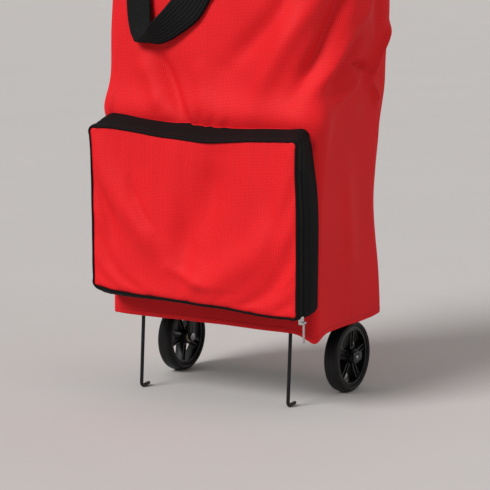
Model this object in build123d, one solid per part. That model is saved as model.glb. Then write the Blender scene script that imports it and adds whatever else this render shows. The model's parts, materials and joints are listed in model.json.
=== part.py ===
"""Folding shopping trolley bag.

A soft upright bag stands on two detachable wheels and a folding wire stand. A zip case on
the front is what the bag folds away into. Millimetres, +Z up, the zip case faces -Y.
The origin is on the floor, at the middle of the whole object's plan.
"""

from build123d import *
import os
from math import atan2, cos, degrees, pi, sin, tan

# ---- Bag ----
BAG_WIDTH = 330.0
BAG_DEPTH = 186.0
BAG_HEIGHT = 580.0
CLOTH = 2.0
SKIRT = 14.0          # the walls hang this far below the cloth bottom
HEM_HEIGHT = 25.0
HEM_THICK = 1.5

# ---- Stiffened base ----
BOARD_THICK = 4.0
BOARD_INSET = 6.0
PLATE_THICK = 2.0
PLATE_INSET = 4.0

# ---- Wheels ----
WHEEL_DIA = 100.0
WHEEL_GAP = 4.0       # from the top of a wheel to the bag's lower edge
TYRE_WIDTH = 22.0
TYRE_HEIGHT = 8.0
TYRE_ROUND = 7.5
RIM_HEIGHT = 5.0
RIM_WIDTH = 18.0
HUB_DIA = 21.0
HUB_LENGTH = 24.0
SPOKE_COUNT = 5
SPOKE_WIDTH = 8.5
SPOKE_DEPTH = 13.0
SPOKE_CHANNEL = 4.5   # width of the channel sunk in each spoke
SPOKE_ROOT = 1.6      # rounding between spokes at the hub
SPOKE_FLARE = 5.0     # rounding where a spoke widens into the rim
CHANNEL_DEPTH = 3.0
SPOKE_PHASE = {"left": 46.0, "right": 13.0}
WHEEL_FROM_SIDE = 28.0
AXLE_FROM_BACK = 50.0

AXLE_DIA = 6.0
AXLE_HEAD_DIA = 11.0
AXLE_HEAD_THICK = 1.5
AXLE_PROUD = 1.7      # the axle end stands out of the release tab by this
BUSH_WALL = 2.0
BUSH_FLANGE_DIA = 14.0
BUSH_FLANGE_THICK = 1.5
RUNNING_FIT = 0.05    # radial clearance of anything that turns or slides on a shaft
GAP = 0.3             # clearance between faces of bodies that move apart

TAB_THICK = 3.0
TAB_WIDTH = 13.0
TAB_REACH = 15.0      # from the axle to the end of the thumb tab
TAB_TRAVEL = 3.0
TAB_SLOT_FIT = 0.4
RAIL_WIDTH = 1.8

# ---- Folding wheel arms ----
ARM_THICK = 4.0
ARM_TOP_WIDTH = 14.0
ARM_EYE_DIA = 12.0
KNUCKLE_DIA = 9.0
PIVOT_DROP = 7.0      # from the base plate down to the fold pivots
HINGE_PIN_DIA = 4.0
LUG_EAR = 3.0
LUG_WIDTH = 12.0
LUG_BELOW_PIN = 5.0
LUG_FOOT = 11.0       # length of the riveted foot beyond each ear

# ---- Wire stand ----
WIRE_DIA = 5.0
STAND_INSET = 46.0    # from the bag's side to each leg
STAND_FROM_FRONT = 11.5
LEG_SPLAY = 7.0       # each heel stands this far ahead of the pivot
FOOT_LENGTH = 19.0
FOOT_RISE = 1.5
HEEL_BEND = 5.0
SHOULDER_BEND = 9.0
CLIP_WIDTH = 18.0
CLIP_WALL = 3.0
CLIP_FOOT = 13.0
CLIP_FROM_CENTRE = 62.0

# ---- Rivets ----
FOOT_THICK = 2.0      # riveted feet of the lugs and the clips
RIVET_DIA = 4.0
RIVET_HEAD_DIA = 8.0
RIVET_HEAD_THICK = 1.4
WASHER_DIA = 12.0
WASHER_THICK = 1.0

# ---- Zip case on the front ----
CASE_WIDTH = 322.0
CASE_HEIGHT = 230.0
CASE_ABOVE_BASE = 30.0
CASE_CORNER = 11.0
GUSSET_DEPTH = 41.0
GUSSET_WALL = 2.5
LID_BAND_DEPTH = 8.0
LID_THICK = 4.0
CHAIN_WIDTH = 4.0
CHAIN_PROUD = 1.2
CHAIN_TAIL = 10.0     # the zip's closed end hangs this far below the case
SLIDER = (3.6, 8.0, 11.0)
SLIDER_ABOVE_TAIL = 7.0
SLIDER_PIN_DIA = 1.6
SLIDER_PIN_OUT = 2.2
PULLER_LENGTH = 27.0
PULLER_WIDTH = 4.4
PULLER_THICK = 1.2
PULLER_EYE_DIA = 4.2

# ---- Webbing handles ----
WEBBING_WIDTH = 40.0
WEBBING_THICK = 2.4
HANDLE_SPREAD = 184.0     # between the middles of the two sewn ends
TAB_HEIGHT = 40.0         # sewn length of each end
TAB_BELOW_RIM = 3.0
LOOP_DROP = 201.0         # from the rim to the lowest point of the hanging loop
REAR_LOOP_DROP = 190.0
LOOP_LEAN = 30.0          # how far the front loop hangs off to one side
LOOP_LEVEL = 26.0         # each run leaves its sewn end straight for this length


# ---- Places worked out from the sizes ----
wheel_r = WHEEL_DIA / 2
base_z = WHEEL_DIA + WHEEL_GAP
rim_z = base_z + BAG_HEIGHT
cloth_floor_z = base_z + SKIRT
plate_z = cloth_floor_z - PLATE_THICK
board_z = cloth_floor_z + CLOTH
pivot_z = plate_z - PIVOT_DROP

case_depth = GUSSET_DEPTH + GAP + LID_BAND_DEPTH + LID_THICK
handle_out = WEBBING_THICK + GAP + WEBBING_THICK
bag_y = (case_depth - handle_out) / 2
front_y = bag_y - BAG_DEPTH / 2
back_y = bag_y + BAG_DEPTH / 2

axle_y = back_y - AXLE_FROM_BACK
wheel_x = BAG_WIDTH / 2 - WHEEL_FROM_SIDE
hub_in_x = wheel_x - HUB_LENGTH / 2
hub_out_x = wheel_x + HUB_LENGTH / 2
flange_in_x = hub_in_x - GAP - BUSH_FLANGE_THICK
arm_out_x = flange_in_x - GAP
arm_x = arm_out_x - ARM_THICK / 2
tab_in_x = hub_out_x + GAP
tab_out_x = tab_in_x + TAB_THICK
rim_out_r = wheel_r - TYRE_HEIGHT
rim_in_r = rim_out_r - RIM_HEIGHT
bush_r = AXLE_DIA / 2 + RUNNING_FIT + BUSH_WALL

stand_x = BAG_WIDTH / 2 - STAND_INSET
stand_y = front_y + STAND_FROM_FRONT

case_z = base_z + CASE_ABOVE_BASE
case_top_z = case_z + CASE_HEIGHT
gusset_front_y = front_y - GUSSET_DEPTH
band_back_y = gusset_front_y - GAP
lid_back_y = band_back_y - LID_BAND_DEPTH
lid_front_y = lid_back_y - LID_THICK
chain_y = gusset_front_y + CHAIN_WIDTH / 2
chain_out_x = CASE_WIDTH / 2 + CHAIN_PROUD

sewn_top_z = rim_z - TAB_BELOW_RIM
handle_pivot_z = sewn_top_z - WEBBING_THICK / 2

SIDES = {"left": -1, "right": 1}
nodes = {}


def block(x, y, z):
    """A box given by its (low, high) pair on each axis."""
    size = [b - a for a, b in (x, y, z)]
    return Pos(*[(a + b) / 2 for a, b in (x, y, z)]) * Box(*size)


def rod_x(radius, x, y, z):
    """A cylinder along X, from x[0] to x[1]."""
    return Pos((x[0] + x[1]) / 2, y, z) * Rot(0, 90, 0) * Cylinder(radius, x[1] - x[0])


def rod_y(radius, x, y, z):
    """A cylinder along Y, from y[0] to y[1]."""
    return Pos(x, (y[0] + y[1]) / 2, z) * Rot(90, 0, 0) * Cylinder(radius, y[1] - y[0])


def rod_z(radius, x, y, z):
    """A cylinder along Z, from z[0] to z[1]."""
    return Pos(x, y, (z[0] + z[1]) / 2) * Cylinder(radius, z[1] - z[0])


def on_side(part, side):
    """A right-hand part, or its mirror image for the left."""
    return part if side == "right" else mirror(part, Plane.YZ)


# ---------------------------------------------------------------- rivet places
def lug_rivets(side):
    reach = ARM_TOP_WIDTH / 2 + GAP + LUG_EAR + LUG_FOOT / 2
    return [(SIDES[side] * arm_x, axle_y + s * reach) for s in (-1, 1)]


def clip_rivets(side):
    x = SIDES[side] * CLIP_FROM_CENTRE
    y = stand_y + WIRE_DIA / 2 + CLIP_WALL + CLIP_FOOT / 2
    return [(x - CLIP_WIDTH / 4, y), (x + CLIP_WIDTH / 4, y)]


def base_rivets_xy():
    return [p for side in SIDES for p in lug_rivets(side) + clip_rivets(side)]


# ---------------------------------------------------------------- bag
def wall_panels():
    x = BAG_WIDTH / 2
    z = (base_z, rim_z)
    nodes["front_panel"] = block((-x, x), (front_y, front_y + CLOTH), z)
    nodes["back_panel"] = block((-x, x), (back_y - CLOTH, back_y), z)
    inner_y = (front_y + CLOTH, back_y - CLOTH)
    nodes["left_panel"] = block((-x, -x + CLOTH), inner_y, z)
    nodes["right_panel"] = block((x - CLOTH, x), inner_y, z)


def rivet_holes(z):
    return [rod_z(RIVET_DIA / 2, x, y, z) for x, y in base_rivets_xy()]


def bottom_panel():
    x = BAG_WIDTH / 2 - CLOTH
    z = (cloth_floor_z, cloth_floor_z + CLOTH)
    return block((-x, x), (front_y + CLOTH, back_y - CLOTH), z) - rivet_holes(z)


def top_hem():
    """The rim is turned in and sewn down inside the mouth."""
    z = (rim_z - HEM_HEIGHT, rim_z)
    x, y0, y1 = BAG_WIDTH / 2 - CLOTH, front_y + CLOTH, back_y - CLOTH
    inner = block((-x + HEM_THICK, x - HEM_THICK), (y0 + HEM_THICK, y1 - HEM_THICK), z)
    return block((-x, x), (y0, y1), z) - inner


# ---------------------------------------------------------------- base
def base_board():
    x = BAG_WIDTH / 2 - BOARD_INSET
    z = (board_z, board_z + BOARD_THICK)
    board = block((-x, x), (front_y + BOARD_INSET, back_y - BOARD_INSET), z)
    board = fillet(board.edges().filter_by(Axis.Z), 2 * BOARD_INSET)
    return board - rivet_holes(z)


def base_plate():
    x = BAG_WIDTH / 2 - CLOTH - PLATE_INSET
    z = (plate_z, cloth_floor_z)
    y = (front_y + CLOTH + PLATE_INSET, back_y - CLOTH - PLATE_INSET)
    plate = block((-x, x), y, z)
    plate = fillet(plate.edges().filter_by(Axis.Z), 2 * PLATE_INSET)
    return plate - rivet_holes(z)


def base_rivets():
    """Each rivet holds a foot, the plate, the cloth and the board together."""
    low = plate_z - FOOT_THICK
    high = board_z + BOARD_THICK + WASHER_THICK
    rivets = []
    for x, y in base_rivets_xy():
        rivet = rod_z(RIVET_DIA / 2, x, y, (low, high))
        rivet += rod_z(RIVET_HEAD_DIA / 2, x, y, (low - RIVET_HEAD_THICK, low))
        rivet += rod_z(RIVET_HEAD_DIA / 2, x, y, (high, high + RIVET_HEAD_THICK))
        rivets.append(rivet)
    return Compound(children=rivets)


def rivet_washers():
    z = (board_z + BOARD_THICK, board_z + BOARD_THICK + WASHER_THICK)
    ring = [
        rod_z(WASHER_DIA / 2, x, y, z) - rod_z(RIVET_DIA / 2, x, y, z)
        for x, y in base_rivets_xy()
    ]
    return Compound(children=ring)


# ---------------------------------------------------------------- wire stand
def wire_stand():
    """One bent wire: a pivot bar, two legs, and feet that point backwards."""
    rise = atan2(FOOT_RISE, FOOT_LENGTH)
    leg_lean = atan2(LEG_SPLAY, pivot_z)
    turn = pi / 2 - rise - leg_lean
    tangent = HEEL_BEND * tan(turn / 2)
    heel_lift = tangent * sin(rise) - HEEL_BEND * (1 - cos(rise))
    heel_y, heel_z = stand_y - LEG_SPLAY, WIRE_DIA / 2 - heel_lift
    toe_y, toe_z = heel_y + FOOT_LENGTH, heel_z + FOOT_RISE
    points = [
        (-stand_x, toe_y, toe_z),
        (-stand_x, heel_y, heel_z),
        (-stand_x, stand_y, pivot_z),
        (stand_x, stand_y, pivot_z),
        (stand_x, heel_y, heel_z),
        (stand_x, toe_y, toe_z),
    ]
    radii = [HEEL_BEND, SHOULDER_BEND, SHOULDER_BEND, HEEL_BEND]
    path = FilletPolyline(*points, radius=radii)
    section = Plane(origin=path @ 0, z_dir=path % 0) * Circle(WIRE_DIA / 2)
    return sweep(section, path=path)


def stand_clip(side):
    """A saddle clip that the pivot bar turns in, riveted behind the bar."""
    x0 = SIDES[side] * CLIP_FROM_CENTRE
    x = (x0 - CLIP_WIDTH / 2, x0 + CLIP_WIDTH / 2)
    wrap_r = WIRE_DIA / 2 + CLIP_WALL
    saddle = rod_x(wrap_r, x, stand_y, pivot_z)
    saddle += block(x, (stand_y - wrap_r, stand_y + wrap_r), (pivot_z, plate_z))
    foot_z = (plate_z - FOOT_THICK, plate_z)
    saddle += block(x, (stand_y, stand_y + wrap_r + CLIP_FOOT), foot_z)
    saddle -= rod_x(WIRE_DIA / 2 + RUNNING_FIT, x, stand_y, pivot_z)
    return saddle - [rod_z(RIVET_DIA / 2, rx, ry, foot_z) for rx, ry in clip_rivets(side)]


# ---------------------------------------------------------------- wheel arms
def hinge_lug():
    """Two ears on riveted feet, one each side of the arm's knuckle."""
    inner = ARM_TOP_WIDTH / 2 + GAP
    outer = inner + LUG_EAR
    x = (arm_x - LUG_WIDTH / 2, arm_x + LUG_WIDTH / 2)
    foot_z = (plate_z - FOOT_THICK, plate_z)
    lug = block(x, (axle_y - outer - LUG_FOOT, axle_y + outer + LUG_FOOT), foot_z)
    for s in (-1, 1):
        ends = sorted((axle_y + s * inner, axle_y + s * outer))
        lug += block(x, ends, (pivot_z, plate_z))
        lug += rod_y(LUG_WIDTH / 2, arm_x, ends, pivot_z) & block(
            x, ends, (pivot_z - LUG_BELOW_PIN, plate_z)
        )
    lug -= rod_y(HINGE_PIN_DIA / 2, arm_x, (axle_y - outer, axle_y + outer), pivot_z)
    holes = [rod_z(RIVET_DIA / 2, rx, ry, foot_z) for rx, ry in lug_rivets("right")]
    return lug - holes


def hinge_pin():
    reach = ARM_TOP_WIDTH / 2 + GAP + LUG_EAR
    return rod_y(HINGE_PIN_DIA / 2, arm_x, (axle_y - reach, axle_y + reach), pivot_z)


def wheel_arm():
    """A flat bar from the knuckle down to the eye that carries the axle."""
    top, eye = ARM_TOP_WIDTH / 2, ARM_EYE_DIA / 2
    corners = [(-eye, wheel_r), (eye, wheel_r), (top, pivot_z), (-top, pivot_z)]
    outline = Polygon(*corners, align=None)
    outline += Pos(0, wheel_r) * Circle(eye)
    plane = Plane(origin=(arm_x - ARM_THICK / 2, axle_y, 0), x_dir=(0, 1, 0), z_dir=(1, 0, 0))
    bar = extrude(plane * outline, ARM_THICK)
    ends = (axle_y - top, axle_y + top)
    bar += rod_y(KNUCKLE_DIA / 2, arm_x, ends, pivot_z)
    bar -= rod_y(HINGE_PIN_DIA / 2 + RUNNING_FIT, arm_x, ends, pivot_z)
    return bar - rod_x(AXLE_DIA / 2, (arm_x - ARM_THICK, arm_x + ARM_THICK), axle_y, wheel_r)


def axle():
    arm_in_x = arm_x - ARM_THICK / 2
    shaft = rod_x(AXLE_DIA / 2, (arm_in_x, tab_out_x + AXLE_PROUD), axle_y, wheel_r)
    shaft = chamfer(shaft.edges().sort_by(Axis.X)[-1], AXLE_DIA / 8)
    head = rod_x(AXLE_HEAD_DIA / 2, (arm_in_x - AXLE_HEAD_THICK, arm_in_x), axle_y, wheel_r)
    return shaft + head


def bush():
    """A flanged sleeve that stays in the wheel and slides off the axle with it."""
    sleeve = rod_x(bush_r, (flange_in_x, hub_out_x), axle_y, wheel_r)
    flange_x = (flange_in_x, flange_in_x + BUSH_FLANGE_THICK)
    sleeve += rod_x(BUSH_FLANGE_DIA / 2, flange_x, axle_y, wheel_r)
    bore = rod_x(AXLE_DIA / 2 + RUNNING_FIT, (flange_in_x, hub_out_x), axle_y, wheel_r)
    return sleeve - bore


def wheel_plane(x):
    """A plane across the axle: its x is the part's +Y and its y is +Z."""
    return Plane(origin=(x, axle_y, wheel_r), x_dir=(0, 1, 0), z_dir=(1, 0, 0))


def tyre():
    half = TYRE_WIDTH / 2
    plane = Plane(origin=(wheel_x, axle_y, wheel_r), x_dir=(1, 0, 0), z_dir=(0, -1, 0))
    profile = Pos(0, wheel_r - TYRE_HEIGHT / 2) * Rectangle(TYRE_WIDTH, TYRE_HEIGHT)
    outer = profile.vertices().group_by(Axis.Y)[-1]
    profile = fillet(outer, TYRE_ROUND)
    spin = Axis((wheel_x - half, axle_y, wheel_r), (1, 0, 0))
    return revolve(plane * profile, axis=spin)


def wheel_windows(side):
    """The five openings between the spokes, with rounded corners."""
    near, reach = HUB_DIA / 4, rim_in_r + RIM_HEIGHT / 2
    spokes = [
        Rot(0, 0, SPOKE_PHASE[side] + i * 360 / SPOKE_COUNT)
        * Pos((near + reach) / 2, 0)
        * Rectangle(reach - near, SPOKE_WIDTH)
        for i in range(SPOKE_COUNT)
    ]
    windows = []
    for window in (Circle(rim_in_r) - Circle(HUB_DIA / 2) - spokes).faces():
        by_reach = window.vertices().sort_by_distance((0, 0, 0))
        window = fillet(by_reach[:2], SPOKE_ROOT)
        by_reach = window.vertices().sort_by_distance((0, 0, 0))
        windows.append(fillet(by_reach[-2:], SPOKE_FLARE))
    return windows


def wheel_core(side):
    """Five channelled spokes and the rim, which meet the hub at its outside."""
    rim = Circle(rim_out_r) - Circle(rim_in_r)
    core = extrude(wheel_plane(wheel_x - RIM_WIDTH / 2) * rim, RIM_WIDTH)
    web = Circle(rim_in_r + RIM_HEIGHT / 2) - Circle(HUB_DIA / 2) - wheel_windows(side)
    core += extrude(wheel_plane(wheel_x - SPOKE_DEPTH / 2) * web, SPOKE_DEPTH)
    start, end = HUB_DIA / 2 + SPOKE_CHANNEL / 2, rim_in_r - SPOKE_CHANNEL / 4
    slot = SlotOverall(end - start, SPOKE_CHANNEL)
    for i in range(SPOKE_COUNT):
        turn = Rot(0, 0, SPOKE_PHASE[side] + i * 360 / SPOKE_COUNT)
        groove = turn * Pos((start + end) / 2, 0) * slot
        outer = wheel_plane(wheel_x + SPOKE_DEPTH / 2 - CHANNEL_DEPTH) * groove
        inner = wheel_plane(wheel_x - SPOKE_DEPTH / 2) * groove
        core -= extrude(outer, CHANNEL_DEPTH)
        core -= extrude(inner, CHANNEL_DEPTH)
    return core


def wheel_hub():
    """The hub barrel, with a bore for the bush and two rails that guide the tab."""
    hub = rod_x(HUB_DIA / 2, (hub_in_x, hub_out_x), axle_y, wheel_r)
    rail_y = TAB_WIDTH / 2 + GAP
    for s in (-1, 1):
        ends = sorted((wheel_r + s * rail_y, wheel_r + s * (rail_y + RAIL_WIDTH)))
        span = (axle_y - HUB_DIA / 4, axle_y + HUB_DIA / 4)
        hub += block((hub_out_x, tab_out_x), span, ends)
    return hub - rod_x(bush_r + RUNNING_FIT, (hub_in_x, tab_out_x), axle_y, wheel_r)


def release_tab():
    """A D-shaped thumb plate that slides across the hub to free the axle."""
    slot_r = AXLE_DIA / 2 + TAB_SLOT_FIT
    straight = TAB_REACH - TAB_WIDTH / 2
    back = -HUB_DIA / 2 + TAB_TRAVEL
    plate = Pos((back + straight) / 2, 0) * Rectangle(straight - back, TAB_WIDTH)
    plate += Pos(straight, 0) * Circle(TAB_WIDTH / 2)
    slot = Circle(slot_r) + Pos(TAB_TRAVEL, 0) * Circle(slot_r)
    slot += Pos(TAB_TRAVEL / 2, 0) * Rectangle(TAB_TRAVEL, 2 * slot_r)
    return extrude(wheel_plane(tab_in_x) * (plate - slot), TAB_THICK)


# ---------------------------------------------------------------- zip case
def case_outline(grow):
    """The case seen from the front, grown outwards by a margin."""
    return RectangleRounded(
        CASE_WIDTH + 2 * grow, CASE_HEIGHT + 2 * grow, CASE_CORNER + grow
    )


def case_plane(y):
    return Plane(origin=(0, y, (case_z + case_top_z) / 2), x_dir=(1, 0, 0), z_dir=(0, -1, 0))


def case_gusset():
    ring = case_outline(0) - case_outline(-GUSSET_WALL)
    return extrude(case_plane(front_y) * ring, GUSSET_DEPTH)


def zip_chain():
    """The zip's teeth run round the case, and its closed end hangs at one corner."""
    ring = case_outline(CHAIN_PROUD) - case_outline(0)
    chain = extrude(case_plane(gusset_front_y + CHAIN_WIDTH) * ring, CHAIN_WIDTH)
    x = (CASE_WIDTH / 2, chain_out_x)
    y = (gusset_front_y, gusset_front_y + CHAIN_WIDTH)
    return chain + block(x, y, (case_z - CHAIN_TAIL, case_z + 2 * CASE_CORNER))


def lid_band():
    ring = case_outline(0) - case_outline(-GUSSET_WALL)
    return extrude(case_plane(band_back_y) * ring, LID_BAND_DEPTH)


def lid_panel():
    return extrude(case_plane(lid_back_y) * case_outline(0), LID_THICK)


slider_x = (chain_out_x + GAP, chain_out_x + GAP + SLIDER[0])
slider_z = case_z - CHAIN_TAIL + SLIDER_ABOVE_TAIL
pin_x = slider_x[1] + SLIDER_PIN_OUT
pin_z = slider_z - SLIDER[2] / 4


def zip_slider():
    """The slider's body, with two ears and a pin for the puller."""
    half_y, half_z = SLIDER[1] / 2, SLIDER[2] / 2
    across = (chain_y - half_y, chain_y + half_y)
    body = block(slider_x, across, (slider_z - half_z, slider_z + half_z))
    body = fillet(body.edges().filter_by(Axis.X), half_y / 2)
    ear = (half_y - SLIDER_PIN_DIA, half_y)
    for s in (-1, 1):
        ends = sorted((chain_y + s * ear[0], chain_y + s * ear[1]))
        reach = (slider_x[1] - SLIDER_PIN_DIA, pin_x)
        body += block(reach, ends, (pin_z - SLIDER_PIN_DIA, pin_z + SLIDER_PIN_DIA))
        body += rod_y(SLIDER_PIN_DIA, pin_x, ends, pin_z)
    return body + rod_y(SLIDER_PIN_DIA / 2, pin_x, across, pin_z)


def zip_puller():
    """A thin metal tag that hangs from the slider's pin."""
    half = min(PULLER_WIDTH, SLIDER[1] - 2 * SLIDER_PIN_DIA - 2 * GAP) / 2
    across = (chain_y - half, chain_y + half)
    tag = rod_y(PULLER_EYE_DIA / 2, pin_x, across, pin_z)
    thick = (pin_x - PULLER_THICK / 2, pin_x + PULLER_THICK / 2)
    tag += block(thick, across, (pin_z - PULLER_LENGTH, pin_z))
    return tag - rod_y(SLIDER_PIN_DIA / 2 + RUNNING_FIT, pin_x, across, pin_z)


# ---------------------------------------------------------------- handles
def webbing(points):
    """Straight runs of webbing in a flat loop, as one face in (x, z)."""
    face = None
    for (xa, za), (xb, zb) in zip(points, points[1:]):
        mid = ((xa + xb) / 2, (za + zb) / 2)
        length = ((xb - xa) ** 2 + (zb - za) ** 2) ** 0.5
        angle = degrees(atan2(zb - za, xb - xa))
        run = Pos(*mid) * Rot(0, 0, angle) * Rectangle(length, WEBBING_WIDTH)
        face = run if face is None else face + run
    for x, z in points[1:-1]:
        face += Pos(x, z) * Circle(WEBBING_WIDTH / 2)
    return face


def hanging_loop(points, wall_y, outward):
    """A loop that hangs in front of its sewn ends, cut level at its pivot line."""
    above = sewn_top_z + WEBBING_WIDTH
    ends = [(points[0][0], above)], [(points[-1][0], above)]
    face = webbing(ends[0] + points + ends[1])
    top = handle_pivot_z
    tall = 2 * WEBBING_WIDTH
    face -= Pos(0, top + tall / 2) * Rectangle(2 * BAG_WIDTH, tall)
    y = wall_y + outward * (WEBBING_THICK + GAP)
    plane = Plane(origin=(0, y, 0), x_dir=(1, 0, 0), z_dir=(0, -1, 0))
    return extrude(plane * face, -outward * WEBBING_THICK)


half_spread = HANDLE_SPREAD / 2
loop_low_z = rim_z - LOOP_DROP + WEBBING_WIDTH / 2


def front_handle():
    """The carrying handle has flopped to one side: one run hangs, the other slants."""
    hang_x = -half_spread - LOOP_LEAN
    points = [
        (-half_spread, sewn_top_z - LOOP_LEVEL),
        (hang_x, sewn_top_z - 2 * TAB_HEIGHT),
        (hang_x, loop_low_z),
        (half_spread, sewn_top_z - LOOP_LEVEL),
    ]
    return hanging_loop(points, front_y, -1)


def rear_handle():
    low_z = rim_z - REAR_LOOP_DROP + WEBBING_WIDTH / 2
    inset = half_spread - WEBBING_WIDTH / 2
    points = [
        (-half_spread, sewn_top_z - LOOP_LEVEL),
        (-inset, low_z),
        (inset, low_z),
        (half_spread, sewn_top_z - LOOP_LEVEL),
    ]
    return hanging_loop(points, back_y, 1)


def sewn_ends(wall_y, outward):
    """The handle's two ends, sewn flat on the wall just under the rim."""
    y = sorted((wall_y, wall_y + outward * WEBBING_THICK))
    z = (sewn_top_z - TAB_HEIGHT, sewn_top_z)
    half = WEBBING_WIDTH / 2
    ends = [block((s * half_spread - half, s * half_spread + half), y, z) for s in (-1, 1)]
    return Compound(children=ends)


# ---------------------------------------------------------------- the whole
def build():
    wall_panels()
    nodes["bottom_panel"] = bottom_panel()
    nodes["top_hem"] = top_hem()
    nodes["base_board"] = base_board()
    nodes["base_plate"] = base_plate()
    nodes["base_rivets"] = base_rivets()
    nodes["rivet_washers"] = rivet_washers()
    nodes["wire_stand"] = wire_stand()
    for side in SIDES:
        nodes[f"{side}_stand_clip"] = stand_clip(side)
        nodes[f"{side}_hinge_lug"] = on_side(hinge_lug(), side)
        nodes[f"{side}_hinge_pin"] = on_side(hinge_pin(), side)
        nodes[f"{side}_wheel_arm"] = on_side(wheel_arm(), side)
        nodes[f"{side}_axle"] = on_side(axle(), side)
        nodes[f"{side}_bush"] = on_side(bush(), side)
        nodes[f"{side}_wheel_core"] = on_side(wheel_core(side), side)
        nodes[f"{side}_wheel_hub"] = on_side(wheel_hub(), side)
        nodes[f"{side}_tyre"] = on_side(tyre(), side)
        nodes[f"{side}_release_tab"] = on_side(release_tab(), side)
    nodes["case_gusset"] = case_gusset()
    nodes["zip_chain"] = zip_chain()
    nodes["lid_band"] = lid_band()
    nodes["lid_panel"] = lid_panel()
    nodes["zip_slider"] = zip_slider()
    nodes["zip_puller"] = zip_puller()
    nodes["front_handle"] = front_handle()
    nodes["rear_handle"] = rear_handle()
    nodes["front_handle_ends"] = sewn_ends(front_y, -1)
    nodes["rear_handle_ends"] = sewn_ends(back_y, 1)


build()
os.makedirs("parts", exist_ok=True)
for name, part in nodes.items():
    export_step(part, f"parts/{name}.step")
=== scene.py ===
import json
import math

import bmesh
import bpy
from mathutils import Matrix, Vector, noise


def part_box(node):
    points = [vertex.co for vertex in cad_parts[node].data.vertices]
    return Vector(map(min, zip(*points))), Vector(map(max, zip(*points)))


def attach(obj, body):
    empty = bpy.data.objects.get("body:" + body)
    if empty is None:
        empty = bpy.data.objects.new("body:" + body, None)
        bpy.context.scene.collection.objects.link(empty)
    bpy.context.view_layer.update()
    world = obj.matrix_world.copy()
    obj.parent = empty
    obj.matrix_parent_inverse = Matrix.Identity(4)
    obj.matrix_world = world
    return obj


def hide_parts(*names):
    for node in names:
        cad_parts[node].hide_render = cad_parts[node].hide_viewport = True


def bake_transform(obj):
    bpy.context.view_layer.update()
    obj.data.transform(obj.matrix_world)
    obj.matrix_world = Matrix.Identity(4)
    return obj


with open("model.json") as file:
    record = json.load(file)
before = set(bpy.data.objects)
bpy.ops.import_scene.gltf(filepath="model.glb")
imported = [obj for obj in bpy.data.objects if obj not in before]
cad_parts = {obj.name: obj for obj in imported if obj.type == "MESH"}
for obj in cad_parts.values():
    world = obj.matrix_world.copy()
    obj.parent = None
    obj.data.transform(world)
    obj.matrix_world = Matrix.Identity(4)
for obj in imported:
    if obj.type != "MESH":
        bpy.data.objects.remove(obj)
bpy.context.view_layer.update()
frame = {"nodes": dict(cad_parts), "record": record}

bl_info = {
    "name": "Folding shopping trolley",
    "version": (1, 0, 0),
    "blender": (4, 5, 0),
    "location": "View3D > Sidebar > Trolley",
    "description": "Builds a two-wheeled shopping trolley bag around its packed parts",
    "category": "Object",
}

MM = 0.001

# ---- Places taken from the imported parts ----
WALL_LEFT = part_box("left_panel")[0].x
WALL_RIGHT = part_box("right_panel")[1].x
WALL_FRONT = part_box("front_panel")[0].y
WALL_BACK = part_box("back_panel")[1].y
BAG_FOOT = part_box("front_panel")[0].z
BAG_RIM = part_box("front_panel")[1].z
TAB_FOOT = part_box("front_handle_ends")[0].z
CASE_LO, CASE_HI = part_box("case_gusset")
LID_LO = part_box("lid_panel")[0]
BAND_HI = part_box("lid_band")[1]
CHAIN_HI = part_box("zip_chain")[1]
SIDES = ("left", "right")


def linear(code):
    """An sRGB hex colour as the linear red, green, blue and alpha that Blender mixes."""
    parts = [int(code[i:i + 2], 16) / 255 for i in (1, 3, 5)]
    curve = [c / 12.92 if c <= 0.04045 else ((c + 0.055) / 1.055) ** 2.4 for c in parts]
    return (*curve, 1.0)


def colour(name, code, description):
    """A colour setting with its default given as an sRGB hex code."""
    return bpy.props.FloatVectorProperty(
        name=name, description=description, subtype="COLOR", size=4,
        min=0.0, max=1.0, default=linear(code),
    )


def length(name, millimetres, description):
    """A length setting with its default given in millimetres."""
    return bpy.props.FloatProperty(
        name=name, description=description, subtype="DISTANCE", unit="LENGTH",
        default=millimetres * MM,
    )


# ================================================================ settings
class TROLLEY_PG_bag(bpy.types.PropertyGroup):
    """Sizes and colours of the soft bag."""

    cloth: length("Cloth thickness", 1.0, "Thickness of the coated oxford cloth")
    grid: length("Mesh spacing", 5.0, "Distance between mesh points on the cloth")
    front_bulge: length("Front bulge", 13.0, "How far the front wall swells over the case")
    side_bulge: length("Side bulge", 15.0, "How far the side walls swell near the top")
    waist: length("Waist", 5.0, "How far the side walls draw in above the base")
    droop: length("Corner droop", 12.0, "How far the front right corner hangs down")
    hem: length("Rim hem", 25.0, "Height of the cloth turned in at the rim")
    foot_hem: length("Foot hem", 8.0, "Height of the cloth turned in at the foot")
    thread: length("Thread spacing", 2.2, "Weave spacing, coarser than real so that it shows")
    stitch: length("Stitch length", 3.6, "Distance from one stitch to the next")
    red: colour("Red cloth", "#EC2026", "Base colour of the oxford cloth")
    # painted shade for the weave's valleys, also the darker side of the uneven dye
    red_shade_and_dye: colour("Deep red", "#BC1119", "Colour between the threads")
    stitching: colour("Stitching", "#D81426", "Colour of the sewing thread")


class TROLLEY_PG_case(bpy.types.PropertyGroup):
    """Sizes and colours of the zip case."""

    sag: length("Top sag", 6.0, "How far the case's top edge hangs in the middle")
    seam_rise: length("Seam rise", 13.0, "How far the case's top seam sits above the lid's edge")
    lift: length("Corner lift", 15.0, "How far the lower left corner rides up")
    bow: length("Side bow", 5.0, "How far the case's lower sides bow out")
    puff: length("Lid puff", 4.0, "How far the lid's cloth may swell")
    cord: length("Piping", 1.2, "Radius of the piping where the case meets the bag")
    tooth: length("Tooth spacing", 2.6, "Distance between zip teeth, a little coarse")
    tape: colour("Zip tape", "#0B0B0C", "Colour of the woven case band")
    teeth: colour("Zip teeth", "#111112", "Colour of the moulded teeth")


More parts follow.
